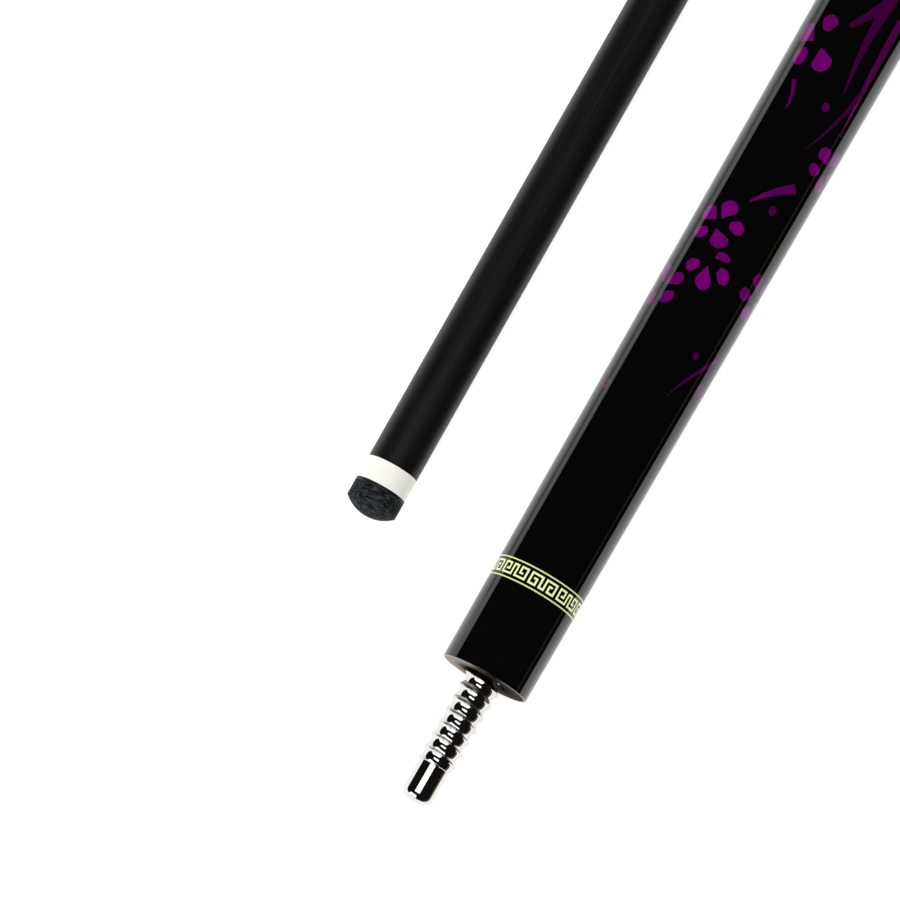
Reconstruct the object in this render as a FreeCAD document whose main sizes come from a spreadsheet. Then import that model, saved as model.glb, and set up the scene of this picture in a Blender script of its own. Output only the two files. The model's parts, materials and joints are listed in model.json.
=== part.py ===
"""Two-piece pool cue, taken apart: the butt and the shaft lie side by side on a flat surface, both pointing along +X.

Millimetres. +X is the way the joint pin and the tip point, +Z is up and Z = 0 is the surface that both halves lie on.
The origin is the middle of the footprint of the two halves. Every piece of a half is drawn on that half's own axis,
with its Z running forward from the half's back end, and one Placement per half then lays it down.
"""

import FreeCAD, Part
import math
import os
import re

import Sketcher

OUT_FOLDER = "parts"

# How far the groove's cutter stands out past the crests
GROOVE_OVERRUN = 0.1

SIZES = {
    # the butt, from the back of its bumper to its joint face
    "butt_length": 736.6,
    "joint_diameter": 21.3,
    "cap_diameter": 32.0,
    "collar_length": 21.1,
    "collar_tenon_diameter": 16.0,
    "face_plate_rim": 0.6,
    "face_plate_thickness": 8.0,
    "face_recess_clearance": 0.35,
    "face_recess_depth": 4.5,
    "wrap_length": 300.0,
    "wrap_thickness": 0.9,
    "ring_tenon_diameter": 17.0,
    "sleeve_length": 97.0,
    "cap_ring_length": 3.0,
    "cap_length": 22.0,
    "stud_diameter": 9.5,
    "stud_length": 50.0,
    # ring work: a thin line, a band with the key pattern, a thin line
    "line_width": 0.5,
    "band_width": 4.14,
    # the radial joint pin
    "pin_reach": 32.2,
    "pin_thread_length": 22.86,
    "pin_crest_diameter": 9.1,
    "pin_thread_depth": 0.725,
    "pin_pitch": 3.175,
    "pin_crest_flat": 0.2,
    "pin_pilot_diameter": 7.5,
    "pin_nose_radius": 2.3,
    "pin_shank_diameter": 7.5,
    "pin_shank_depth": 38.0,
    "pin_step": 0.35,
    # the weight inside the butt's back end
    "weight_tube_diameter": 16.0,
    "weight_tube_bore": 12.7,
    "weight_tube_length": 72.0,
    "weight_bolt_length": 42.0,
    "weight_fit": 0.05,
    "weight_inset": 3.0,
    "weight_key_width": 6.35,
    "weight_key_depth": 9.0,
    # the bumper, screwed into the cap
    "bumper_height": 11.0,
    "bumper_diameter": 26.0,
    "bumper_rounding": 4.0,
    "bumper_seat_rounding": 0.8,
    "washer_thickness": 1.0,
    "washer_diameter": 24.0,
    "bumper_stud_diameter": 9.9,
    "bumper_stud_length": 15.0,
    "bumper_stud_head_diameter": 18.0,
    "bumper_stud_head_thickness": 2.4,
    "bumper_stud_cover": 4.0,
    "bumper_insert_diameter": 14.0,
    "bumper_insert_length": 16.0,
    "bumper_fit": 0.05,
    # the shaft, from its joint face to the top of its tip
    "shaft_length": 736.6,
    "tip_diameter": 12.4,
    "straight_length": 342.0,
    "tip_height": 6.1,
    "tip_dome_radius": 9.0,
    "pad_thickness": 0.8,
    "ferrule_length": 5.5,
    "tenon_diameter": 8.2,
    "tenon_plug_depth": 40.0,
    "tube_wall": 1.3,
    "mandrel_taper": 0.1,
    "core_gap": 0.3,
    "shaft_collar_length": 12.0,
    "insert_diameter": 12.7,
    "insert_length": 36.0,
    "insert_root_clearance": 0.175,
    "insert_thread_clearance": 0.08,
    "insert_end_gap": 1.0,
    "insert_face_inset": 0.3,
    "back_plug_length": 48.0,
    # how the two halves lie
    "axis_spacing": 41.6,
    "tip_setback": 19.2,
    "splay": 0.8,
}

# Stations along the butt's axis, from the back of the bumper forward
CAP_BACK = "(bumper_height + washer_thickness)"
CAP_FRONT = f"({CAP_BACK} + cap_length)"
SLEEVE_BACK = f"({CAP_FRONT} + cap_ring_length)"
SLEEVE_FRONT = f"({SLEEVE_BACK} + sleeve_length)"
RING_STACK = "(2*line_width + band_width)"
WRAP_BACK = f"({SLEEVE_FRONT} + {RING_STACK})"
WRAP_FRONT = f"({WRAP_BACK} + wrap_length)"
FOREARM_BACK = f"({WRAP_FRONT} + {RING_STACK})"
COLLAR_BACK = "(butt_length - collar_length)"
FOREARM_FRONT = f"({COLLAR_BACK} - {RING_STACK})"
FACE = "butt_length"
PLATE_BACK = "(butt_length - face_plate_thickness)"
PIN_ROOT = "(pin_crest_diameter/2 - pin_thread_depth)"
SHANK_BACK = "(butt_length - pin_shank_depth)"
TUBE_BACK = f"({CAP_BACK} + bumper_insert_length + weight_inset)"
TUBE_FRONT = f"({TUBE_BACK} + weight_tube_length)"
BOLT_BACK = f"({TUBE_BACK} + weight_inset)"

# Stations along the shaft's axis, from its joint face forward
TIP_SHOULDER = "(shaft_length - tip_height)"
FERRULE_FRONT = f"({TIP_SHOULDER} - pad_thickness)"
FERRULE_BACK = f"({FERRULE_FRONT} - ferrule_length)"
STRAIGHT_BACK = f"({FERRULE_BACK} - straight_length)"
SHAFT_RING_FRONT = f"(shaft_collar_length + {RING_STACK})"


def butt_skin(station):
    """Outside radius of the butt's straight cone at a station, as an expression."""
    rise = "(cap_diameter - joint_diameter)/2"
    return f"(joint_diameter/2 + {rise}*(butt_length - {station})/(butt_length - {CAP_BACK}))"


def shaft_skin(station):
    """Outside radius of the shaft's back cone at a station, as an expression."""
    rise = "(joint_diameter - tip_diameter)/2"
    return f"(tip_diameter/2 + {rise}*({STRAIGHT_BACK} - {station})/{STRAIGHT_BACK})"


def bound(expression):
    """The expression with each size read from the spreadsheet."""
    return re.sub(r"[a-z][a-z_]+", lambda word: "Sizes." + word.group(0), expression)


def make_sheet(doc):
    """A spreadsheet with a name and a plain number on each row, the number's alias being the name."""
    sheet = doc.addObject("Spreadsheet::Sheet", "Sizes")
    for row, (name, value) in enumerate(SIZES.items(), start=1):
        sheet.set(f"A{row}", name)
        sheet.set(f"B{row}", str(value))
        sheet.setAlias(f"B{row}", name)
    doc.recompute()
    return sheet


def origin_feature(body, role):
    """One of a body's own origin planes or axes."""
    return next(item for item in body.Origin.OriginFeatures if item.Role == role)


def draw_outline(sketch, points):
    """Closes a polygon through (radius, station) expressions, each corner tied to the sketch's two axes."""
    count = len(points)
    for i in range(count):
        turn = 2*math.pi*i/count
        after = 2*math.pi*(i + 1)/count
        start = FreeCAD.Vector(50 + 20*math.cos(turn), 50 + 20*math.sin(turn), 0)
        end = FreeCAD.Vector(50 + 20*math.cos(after), 50 + 20*math.sin(after), 0)
        sketch.addGeometry(Part.LineSegment(start, end), False)
    for i in range(count):
        sketch.addConstraint(Sketcher.Constraint("Coincident", i, 2, (i + 1) % count, 1))
    for i, (radius, station) in enumerate(points):
        if radius == "0":
            sketch.addConstraint(Sketcher.Constraint("PointOnObject", i, 1, -2))
        else:
            across = sketch.addConstraint(Sketcher.Constraint("DistanceX", -1, 1, i, 1, 1.0))
            sketch.setExpression(f"Constraints[{across}]", bound(radius))
        if station == "0":
            sketch.addConstraint(Sketcher.Constraint("PointOnObject", i, 1, -1))
        else:
            along = sketch.addConstraint(Sketcher.Constraint("DistanceY", -1, 1, i, 1, 1.0))
            sketch.setExpression(f"Constraints[{along}]", bound(station))


def turned(doc, label, points):
    """A body turned about its own Z axis from an outline of (radius, station) expressions."""
    body = doc.addObject("PartDesign::Body", label)
    body.Label = label
    sketch = body.newObject("Sketcher::SketchObject", label + "_outline")
    sketch.AttachmentSupport = (origin_feature(body, "XZ_Plane"), [""])
    sketch.MapMode = "FlatFace"
    draw_outline(sketch, points)
    turning = body.newObject("PartDesign::Revolution", label + "_turning")
    turning.Profile = sketch
    turning.ReferenceAxis = (sketch, ["V_Axis"])
    turning.Angle = 360.0
    doc.recompute()
    return body


def tube(doc, label, back, front, inner, skin):
    """A turned ring between two stations, with a bore and the half's own skin outside."""
    return turned(doc, label, [(inner, back), (skin(back), back), (skin(front), front), (inner, front)])


def circle_edges(body, radius, station):
    """Names of the body's circular edges of one radius at one station."""
    names = []
    for number, edge in enumerate(body.Tip.Shape.Edges, start=1):
        if not isinstance(edge.Curve, Part.Circle):
            continue
        if abs(edge.Curve.Radius - radius) < 1e-4 and abs(edge.Curve.Center.z - station) < 1e-4:
            names.append(f"Edge{number}")
    return names


def round_edge(doc, body, label, size_name, radius, station):
    """Rounds one circular edge of a body by a size of the sheet."""
    base = (body.Tip, circle_edges(body, radius, station))
    rounding = body.newObject("PartDesign::Fillet", label)
    rounding.Base = base
    rounding.setExpression("Radius", bound(size_name))
    doc.recompute()


def cutter(doc, kind, label, sizes, station):
    """A Part primitive on the half's axis at a station, its sizes bound to expressions."""
    solid = doc.addObject(kind, label)
    for name, expression in sizes.items():
        solid.setExpression(name, bound(expression))
    solid.setExpression("Placement.Base.z", bound(station))
    return solid


def combined(doc, kind, label, base, tool):
    """A Part boolean of two objects."""
    result = doc.addObject(kind, label)
    result.Base = base
    result.Tool = tool
    result.Label = label
    doc.recompute()
    return result


def swept_groove(doc, label, section, start, length, radius):
    """A section carried along a helix on the half's axis, right-handed, at the joint thread's pitch."""
    helix = doc.addObject("Part::Helix", label + "_helix")
    helix.setExpression("Pitch", bound("pin_pitch"))
    helix.setExpression("Height", bound(length))
    helix.setExpression("Radius", bound(radius))
    helix.setExpression("Placement.Base.z", bound(start))
    doc.recompute()
    sweep = doc.addObject("Part::Sweep", label + "_sweep")
    sweep.Sections = [section]
    sweep.Spine = (helix, [f"Edge{number + 1}" for number in range(len(helix.Shape.Edges))])
    sweep.Solid = True
    sweep.Frenet = True
    doc.recompute()
    return sweep


def make_groove_section(doc, station):
    """Section of the pin's groove: an arc from crest to crest through the root, closed just outside the crests."""
    depth = SIZES["pin_thread_depth"]
    crest = SIZES["pin_crest_diameter"]/2
    half = (SIZES["pin_pitch"] - SIZES["pin_crest_flat"])/2
    radius = (half**2 + depth**2)/(2*depth)
    swing = math.asin(half/radius)
    section = doc.addObject("Sketcher::SketchObject", "pin_groove_section")
    section.Placement.Rotation = FreeCAD.Rotation(FreeCAD.Vector(1, 0, 0), 90)
    circle = Part.Circle(FreeCAD.Vector(crest - depth + radius, 0, 0), FreeCAD.Vector(0, 0, 1), radius)
    section.addGeometry(Part.ArcOfCircle(circle, math.pi - swing, math.pi + swing), False)
    corners = [
        FreeCAD.Vector(crest, -half, 0),
        FreeCAD.Vector(crest + GROOVE_OVERRUN, -half, 0),
        FreeCAD.Vector(crest + GROOVE_OVERRUN, half, 0),
        FreeCAD.Vector(crest, half, 0),
    ]
    for start, end in zip(corners, corners[1:]):
        section.addGeometry(Part.LineSegment(start, end), False)
    section.addConstraint(Sketcher.Constraint("Coincident", 0, 2, 1, 1))
    section.addConstraint(Sketcher.Constraint("Coincident", 1, 2, 2, 1))
    section.addConstraint(Sketcher.Constraint("Coincident", 2, 2, 3, 1))
    section.addConstraint(Sketcher.Constraint("Coincident", 3, 2, 0, 1))
    section.addConstraint(Sketcher.Constraint("Horizontal", 1))
    section.addConstraint(Sketcher.Constraint("Vertical", 2))
    section.addConstraint(Sketcher.Constraint("Horizontal", 3))
    section.addConstraint(Sketcher.Constraint("PointOnObject", 0, 3, -1))
    across = section.addConstraint(Sketcher.Constraint("DistanceX", -1, 1, 0, 1, crest))
    section.setExpression(f"Constraints[{across}]", bound("pin_crest_diameter/2"))
    width = section.addConstraint(Sketcher.Constraint("DistanceY", 0, 2, 0, 1, 2*half))
    section.setExpression(f"Constraints[{width}]", bound("pin_pitch - pin_crest_flat"))
    arc = section.addConstraint(Sketcher.Constraint("Radius", 0, radius))
    chord = "((pin_pitch - pin_crest_flat)/2)"
    square = "pin_thread_depth*pin_thread_depth"
    section.setExpression(f"Constraints[{arc}]", bound(f"({chord}*{chord} + {square})/(2*pin_thread_depth)"))
    section.addConstraint(Sketcher.Constraint("DistanceX", 1, 1, 1, 2, GROOVE_OVERRUN))
    section.setExpression("Placement.Base.z", bound(station))
    doc.recompute()
    return section


def make_joint_pin(doc):
    """Stainless radial pin: embedded shank, helical round-bottomed grooves, plain pilot and rounded nose."""
    thread_front = "(butt_length + pin_thread_length)"
    recess_back = "(butt_length - face_recess_depth)"
    blank = turned(doc, "pin_blank", [
        ("0", SHANK_BACK),
        ("pin_shank_diameter/2", SHANK_BACK),
        ("pin_shank_diameter/2", recess_back),
        ("pin_crest_diameter/2", recess_back),
        ("pin_crest_diameter/2", f"({thread_front} - pin_step)"),
        ("pin_pilot_diameter/2", thread_front),
        ("pin_pilot_diameter/2", "(butt_length + pin_reach)"),
        ("0", "(butt_length + pin_reach)"),
    ])
    pilot = SIZES["pin_pilot_diameter"]/2
    nose = SIZES["butt_length"] + SIZES["pin_reach"]
    round_edge(doc, blank, "pin_nose", "pin_nose_radius", pilot, nose)
    start = f"({recess_back} - pin_pitch)"
    length = "(face_recess_depth + pin_thread_length + 2*pin_pitch)"
    groove = swept_groove(doc, "pin_groove", make_groove_section(doc, start), start, length, PIN_ROOT)
    return combined(doc, "Part::Cut", "joint_pin", blank, groove)


def make_joint_insert(doc):
    """Brass insert in the shaft: a helical thread for the pin's crests, then a plain bore for its pilot."""
    minor = f"({PIN_ROOT} + insert_root_clearance)"
    pilot = "(pin_pilot_diameter/2 + insert_thread_clearance)"
    pilot_back = "(pin_thread_length + pin_pitch + insert_end_gap)"
    reach = "(pin_reach + insert_face_inset + insert_end_gap)"
    blank = turned(doc, "insert_blank", [
        (minor, "insert_face_inset"),
        ("insert_diameter/2", "insert_face_inset"),
        ("insert_diameter/2", "insert_length"),
        ("0", "insert_length"),
        ("0", reach),
        (pilot, reach),
        (pilot, pilot_back),
        (minor, pilot_back),
    ])
    section = doc.addObject("Sketcher::SketchObject", "insert_thread_section")
    section.Placement = FreeCAD.Placement(FreeCAD.Vector(0, 0, 0), FreeCAD.Rotation(FreeCAD.Vector(1, 0, 0), 90))
    half = "(pin_pitch/2 - pin_crest_flat)"
    crest = "(pin_crest_diameter/2 + insert_thread_clearance)"
    middle = "pin_pitch"
    draw_outline(section, [
        (f"({minor} - insert_thread_clearance)", f"({middle} - {half})"),
        (crest, f"({middle} - pin_crest_flat)"),
        (crest, f"({middle} + pin_crest_flat)"),
        (f"({minor} - insert_thread_clearance)", f"({middle} + {half})"),
    ])
    section.setExpression("Placement.Base.z", bound("insert_face_inset - 2*pin_pitch"))
    doc.recompute()
    length = "(pin_thread_length + 3*pin_pitch/2)"
    start = "(insert_face_inset - pin_pitch)"
    thread = swept_groove(doc, "insert_thread", section, start, length, minor)
    return combined(doc, "Part::Cut", "joint_insert", blank, thread)


def make_tip(doc):
    """Leather tip: a straight side and a dome struck from a centre on the axis."""
    blank = cutter(doc, "Part::Cylinder", "tip_blank", {
        "Radius": "tip_diameter/2",
        "Height": "tip_height",
    }, TIP_SHOULDER)
    ball = cutter(doc, "Part::Sphere", "tip_ball", {
        "Radius": "tip_dome_radius",
    }, "(shaft_length - tip_dome_radius)")
    doc.recompute()
    return combined(doc, "Part::Common", "tip", blank, ball)


def make_weight_bolt(doc):
    """Steel weight bolt with a hexagon socket in its back end."""
    bolt = turned(doc, "weight_bolt_blank", [
        ("0", BOLT_BACK),
        ("(weight_tube_bore/2 - weight_fit)", BOLT_BACK),
        ("(weight_tube_bore/2 - weight_fit)", f"({BOLT_BACK} + weight_bolt_length)"),
        ("0", f"({BOLT_BACK} + weight_bolt_length)"),
    ])
    socket = doc.addObject("Part::Prism", "weight_bolt_socket")
    socket.Polygon = 6
    socket.setExpression("Circumradius", bound("weight_key_width/sqrt(3)").replace("Sizes.sqrt", "sqrt"))
    socket.setExpression("Height", bound("weight_key_depth"))
    socket.setExpression("Placement.Base.z", bound(BOLT_BACK))
    doc.recompute()
    return combined(doc, "Part::Cut", "weight_bolt", bolt, socket)


def make_bumper_stud(doc, label):
    """Threaded stud of the bumper: a head moulded into the rubber and a shank that screws into the cap."""
    head_back = "bumper_stud_cover"
    head_front = "(bumper_stud_cover + bumper_stud_head_thickness)"
    return turned(doc, label, [
        ("0", head_back),
        ("bumper_stud_head_diameter/2", head_back),
        ("bumper_stud_head_diameter/2", head_front),
        ("bumper_stud_diameter/2", head_front),
        ("bumper_stud_diameter/2", f"({CAP_BACK} + bumper_stud_length)"),
        ("0", f"({CAP_BACK} + bumper_stud_length)"),
    ])


def make_bumper(doc):
    """Rubber bumper, rounded at both edges, moulded round its stud."""
    rubber = turned(doc, "bumper_rubber", [
        ("0", "0"),
        ("bumper_diameter/2", "0"),
        ("bumper_diameter/2", "bumper_height"),
        ("0", "bumper_height"),
    ])
    radius = SIZES["bumper_diameter"]/2
    round_edge(doc, rubber, "bumper_back_edge", "bumper_rounding", radius, 0.0)
    round_edge(doc, rubber, "bumper_seat_edge", "bumper_seat_rounding", radius, SIZES["bumper_height"])
    return combined(doc, "Part::Cut", "bumper", rubber, make_bumper_stud(doc, "bumper_stud_space"))


def make_ring_stack(doc, prefix, back, inner, skin):
    """Ring work from back to front: a thin line, the key band and a second thin line."""
    band_back = f"({back} + line_width)"
    band_front = f"({band_back} + band_width)"
    front = f"({band_front} + line_width)"
    return [
        tube(doc, prefix + "_line_back", back, band_back, inner, skin),
        tube(doc, prefix + "_key_band", band_back, band_front, inner, skin),
        tube(doc, prefix + "_line_front", band_front, front, inner, skin),
    ]


def make_butt_front(doc):
    """Pin, face plate, collar, ring work and forearm."""
    tenon = "collar_tenon_diameter/2"
    plate = "(joint_diameter/2 - face_plate_rim)"
    recess = "(pin_crest_diameter/2 + face_recess_clearance)"
    shank = "pin_shank_diameter/2"
    recess_back = "(butt_length - face_recess_depth)"
    face_plate = turned(doc, "joint_face_plate", [
        (shank, PLATE_BACK),
        (plate, PLATE_BACK),
        (plate, FACE),
        (recess, FACE),
        (recess, recess_back),
        (shank, recess_back),
    ])
    collar = turned(doc, "joint_collar", [
        (tenon, COLLAR_BACK),
        (butt_skin(COLLAR_BACK), COLLAR_BACK),
        (butt_skin(FACE), FACE),
        (plate, FACE),
        (plate, PLATE_BACK),
        (tenon, PLATE_BACK),
    ])
    stud_front = f"({FOREARM_BACK} + stud_length/2)"
    forearm = turned(doc, "forearm", [
        ("0", stud_front),
        ("stud_diameter/2", stud_front),
        ("stud_diameter/2", FOREARM_BACK),
        (butt_skin(FOREARM_BACK), FOREARM_BACK),
        (butt_skin(FOREARM_FRONT), FOREARM_FRONT),
        (tenon, FOREARM_FRONT),
        (tenon, PLATE_BACK),
        (shank, PLATE_BACK),
        (shank, SHANK_BACK),
        ("0", SHANK_BACK),
    ])
    rings = make_ring_stack(doc, "joint_ring", FOREARM_FRONT, tenon, butt_skin)
    return [make_joint_pin(doc), face_plate, collar, forearm] + rings


def make_stud(doc, label, middle):
    """Steel stud that joins two lengths of the butt end to end."""
    return turned(doc, label, [
        ("0", f"({middle} - stud_length/2)"),
        ("stud_diameter/2", f"({middle} - stud_length/2)"),
        ("stud_diameter/2", f"({middle} + stud_length/2)"),
        ("0", f"({middle} + stud_length/2)"),
    ])


def make_handle(doc):
    """Handle core with a tenon at each end for the ring work, its linen wrap, and the two studs."""
    tenon = "ring_tenon_diameter/2"
    stud = "stud_diameter/2"
    back_bottom = f"({SLEEVE_FRONT} + stud_length/2)"
    front_bottom = f"({FOREARM_BACK} - stud_length/2)"
    core_back = f"({butt_skin(WRAP_BACK)} - wrap_thickness)"
    core_front = f"({butt_skin(WRAP_FRONT)} - wrap_thickness)"
    core = turned(doc, "handle_core", [
        ("0", back_bottom),
        (stud, back_bottom),
        (stud, SLEEVE_FRONT),
        (tenon, SLEEVE_FRONT),
        (tenon, WRAP_BACK),
        (core_back, WRAP_BACK),
        (core_front, WRAP_FRONT),
        (tenon, WRAP_FRONT),
        (tenon, FOREARM_BACK),
        (stud, FOREARM_BACK),
        (stud, front_bottom),
        ("0", front_bottom),
    ])
    wrap = turned(doc, "linen_wrap", [
        (core_back, WRAP_BACK),
        (butt_skin(WRAP_BACK), WRAP_BACK),
        (butt_skin(WRAP_FRONT), WRAP_FRONT),
        (core_front, WRAP_FRONT),
    ])
    rings = make_ring_stack(doc, "wrap_back_ring", SLEEVE_FRONT, tenon, butt_skin)
    rings += make_ring_stack(doc, "wrap_front_ring", WRAP_FRONT, tenon, butt_skin)
    studs = [make_stud(doc, "forearm_stud", FOREARM_BACK), make_stud(doc, "sleeve_stud", SLEEVE_FRONT)]
    return [core, wrap] + rings + studs


def make_butt_back(doc):
    """Butt sleeve, cap ring, cap, the weight in its tube and the insert for the bumper."""
    tube_radius = "weight_tube_diameter/2"
    insert_front = f"({CAP_BACK} + bumper_insert_length)"
    stud_back = f"({SLEEVE_FRONT} - stud_length/2)"
    stud = "stud_diameter/2"
    sleeve = turned(doc, "butt_sleeve", [
        (tube_radius, SLEEVE_BACK),
        (butt_skin(SLEEVE_BACK), SLEEVE_BACK),
        (butt_skin(SLEEVE_FRONT), SLEEVE_FRONT),
        (stud, SLEEVE_FRONT),
        (stud, stud_back),
        ("0", stud_back),
        ("0", TUBE_FRONT),
        (tube_radius, TUBE_FRONT),
    ])
    ring = tube(doc, "cap_ring", CAP_FRONT, SLEEVE_BACK, tube_radius, butt_skin)
    cap = turned(doc, "butt_cap", [
        ("bumper_insert_diameter/2", CAP_BACK),
        (butt_skin(CAP_BACK), CAP_BACK),
        (butt_skin(CAP_FRONT), CAP_FRONT),
        (tube_radius, CAP_FRONT),
        (tube_radius, TUBE_BACK),
        ("bumper_insert_diameter/2", TUBE_BACK),
    ])
    weight_tube = turned(doc, "weight_tube", [
        ("weight_tube_bore/2", TUBE_BACK),
        (tube_radius, TUBE_BACK),
        (tube_radius, TUBE_FRONT),
        ("weight_tube_bore/2", TUBE_FRONT),
    ])
    insert = turned(doc, "bumper_insert", [
        ("(bumper_stud_diameter/2 + bumper_fit)", CAP_BACK),
        ("bumper_insert_diameter/2", CAP_BACK),
        ("bumper_insert_diameter/2", insert_front),
        ("(bumper_stud_diameter/2 + bumper_fit)", insert_front),
    ])
    return [sleeve, ring, cap, weight_tube, insert, make_weight_bolt(doc)]


def make_bumper_set(doc):
    """Bumper, its stud and the washer that it seats on."""
    washer = turned(doc, "bumper_washer", [
        ("(bumper_stud_diameter/2 + bumper_fit)", "bumper_height"),
        ("washer_diameter/2", "bumper_height"),
        ("washer_diameter/2", CAP_BACK),
        ("(bumper_stud_diameter/2 + bumper_fit)", CAP_BACK),
    ])
    return [make_bumper(doc), make_bumper_stud(doc, "bumper_stud"), washer]


def make_shaft_front(doc):
    """Tip, backing pad, ferrule and the plug whose tenon carries them."""
    tenon = "tenon_diameter/2"
    skin = "tip_diameter/2"
    pad = turned(doc, "tip_pad", [
        ("0", FERRULE_FRONT),
        (skin, FERRULE_FRONT),
        (skin, TIP_SHOULDER),
        ("0", TIP_SHOULDER),
    ])
    ferrule = turned(doc, "ferrule", [
        (tenon, FERRULE_BACK),
        (skin, FERRULE_BACK),
        (skin, FERRULE_FRONT),
        (tenon, FERRULE_FRONT),
    ])
    plug_back = f"({FERRULE_BACK} - tenon_plug_depth)"
    bore = "(tip_diameter/2 - tube_wall)"
    plug = turned(doc, "tenon_plug", [
        ("0", plug_back),
        (f"({bore} + mandrel_taper*tenon_plug_depth/straight_length)", plug_back),
        (bore, FERRULE_BACK),
        (tenon, FERRULE_BACK),
        (tenon, FERRULE_FRONT),
        ("0", FERRULE_FRONT),
    ])
    return [make_tip(doc), pad, ferrule, plug]


def make_shaft_tube(doc):
    """Carbon tube, straight in front and flaring to the joint, with the foam core that fills it.

    The tube is laid up on a mandrel, so its bore tapers a little along the straight front too.
    """
    plug_back = f"({FERRULE_BACK} - tenon_plug_depth)"
    straight_bore = "(tip_diameter/2 - tube_wall)"
    bore_back = f"({shaft_skin(SHAFT_RING_FRONT)} - tube_wall)"
    carbon = turned(doc, "shaft_tube", [
        (bore_back, SHAFT_RING_FRONT),
        (shaft_skin(SHAFT_RING_FRONT), SHAFT_RING_FRONT),
        ("tip_diameter/2", STRAIGHT_BACK),
        ("tip_diameter/2", FERRULE_BACK),
        (straight_bore, FERRULE_BACK),
        (f"({straight_bore} + mandrel_taper)", STRAIGHT_BACK),
    ])
    core_back = "(back_plug_length + core_gap)"
    core = turned(doc, "foam_core", [
        ("0", core_back),
        (f"({shaft_skin(core_back)} - tube_wall - core_gap)", core_back),
        (f"({straight_bore} - core_gap)", STRAIGHT_BACK),
        (f"({straight_bore} - core_gap)", f"({plug_back} - core_gap)"),
        ("0", f"({plug_back} - core_gap)"),
    ])
    return [carbon, core]


def make_shaft_back(doc):
    """Collar, ring work, the plug in the tube's back end and the threaded insert in it."""
    insert = "insert_diameter/2"
    tenon = "collar_tenon_diameter/2"
    collar = turned(doc, "shaft_collar", [
        (tenon, "0"),
        (shaft_skin("0"), "0"),
        (shaft_skin("shaft_collar_length"), "shaft_collar_length"),
        (tenon, "shaft_collar_length"),
    ])
    plug = turned(doc, "back_plug", [
        (insert, "0"),
        (tenon, "0"),
        (tenon, SHAFT_RING_FRONT),
        (f"({shaft_skin(SHAFT_RING_FRONT)} - tube_wall)", SHAFT_RING_FRONT),
        (f"({shaft_skin('back_plug_length')} - tube_wall)", "back_plug_length"),
        ("0", "back_plug_length"),
        ("0", "insert_length"),
        (insert, "insert_length"),
    ])
    rings = make_ring_stack(doc, "shaft_ring", "shaft_collar_length", tenon, shaft_skin)
    return [collar, plug, make_joint_insert(doc)] + rings


def forward(tilt, splay):
    """Unit vector of a half that points along +X, nose down by tilt and swung towards +Y by splay."""
    level = math.cos(tilt)
    return FreeCAD.Vector(level*math.cos(splay), level*math.sin(splay), -math.sin(tilt))


def disc_reach(direction, radius, axis):
    """How far a disc square to direction reaches along a world axis from its centre."""
    return radius*math.sqrt(max(0.0, 1.0 - direction.dot(axis)**2))


def lie_down(sizes):
    """Placements of the butt and the shaft, each touching Z = 0, with the footprint's middle at the origin."""
    east = FreeCAD.Vector(1, 0, 0)
    north = FreeCAD.Vector(0, 1, 0)
    joint = sizes["joint_diameter"]/2
    cap = sizes["cap_diameter"]/2
    tip = sizes["tip_diameter"]/2
    cap_back = sizes["bumper_height"] + sizes["washer_thickness"]
    tilt = math.atan((cap - joint)/(sizes["butt_length"] - cap_back))
    butt_way = forward(tilt, 0.0)
    face = FreeCAD.Vector(0, 0, joint*math.cos(tilt))
    butt_back = face - butt_way*sizes["butt_length"]

    rest_length = sizes["shaft_length"] - sizes["tip_height"]
    shaft_tilt = math.atan((joint - tip)/rest_length)
    shaft_way = forward(shaft_tilt, math.radians(sizes["splay"]))
    shaft_back = FreeCAD.Vector(-sizes["tip_setback"], -sizes["axis_spacing"], 0) - shaft_way*sizes["shaft_length"]
    shaft_back.z = joint*math.cos(shaft_tilt)

    nose = face + butt_way*sizes["pin_reach"]
    cap_centre = butt_back + butt_way*cap_back
    high_x = nose.x
    low_x = min(shaft_back.x - disc_reach(shaft_way, joint, east), butt_back.x)
    high_y = cap_centre.y + disc_reach(butt_way, cap, north)
    low_y = shaft_back.y - disc_reach(shaft_way, joint, north)
    middle = FreeCAD.Vector((high_x + low_x)/2, (high_y + low_y)/2, 0)
    up = FreeCAD.Vector(0, 0, 1)
    return (
        FreeCAD.Placement(butt_back - middle, FreeCAD.Rotation(up, butt_way)),
        FreeCAD.Placement(shaft_back - middle, FreeCAD.Rotation(up, shaft_way)),
    )


def check(doc, pieces):
    """Stops if any object failed to compute, or a piece's shape is null or not valid."""
    for item in doc.Objects:
        if "Invalid" in item.State or "Error" in item.State:
            raise RuntimeError(f"{item.Name} failed: {item.State}")
    for piece in pieces:
        if piece.Shape.isNull() or not piece.Shape.isValid() or not piece.Shape.Solids:
            raise RuntimeError(f"{piece.Label} has no valid solid")


def main():
    doc = FreeCAD.newDocument("pool_cue")
    make_sheet(doc)
    butt = make_butt_front(doc) + make_handle(doc) + make_butt_back(doc) + make_bumper_set(doc)
    shaft = make_shaft_front(doc) + make_shaft_tube(doc) + make_shaft_back(doc)
    butt_place, shaft_place = lie_down(SIZES)
    for piece in butt:
        piece.Placement = butt_place
    for piece in shaft:
        piece.Placement = shaft_place
    doc.recompute()
    check(doc, butt + shaft)
    os.makedirs(OUT_FOLDER, exist_ok=True)
    for piece in butt + shaft:
        piece.Shape.exportStep(f"{OUT_FOLDER}/{piece.Label}.step")
        print(f"{piece.Label}: {piece.Shape.Volume/1000:.2f} cm3")
    print("butt", butt_place)
    print("shaft", shaft_place)


main()
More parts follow.
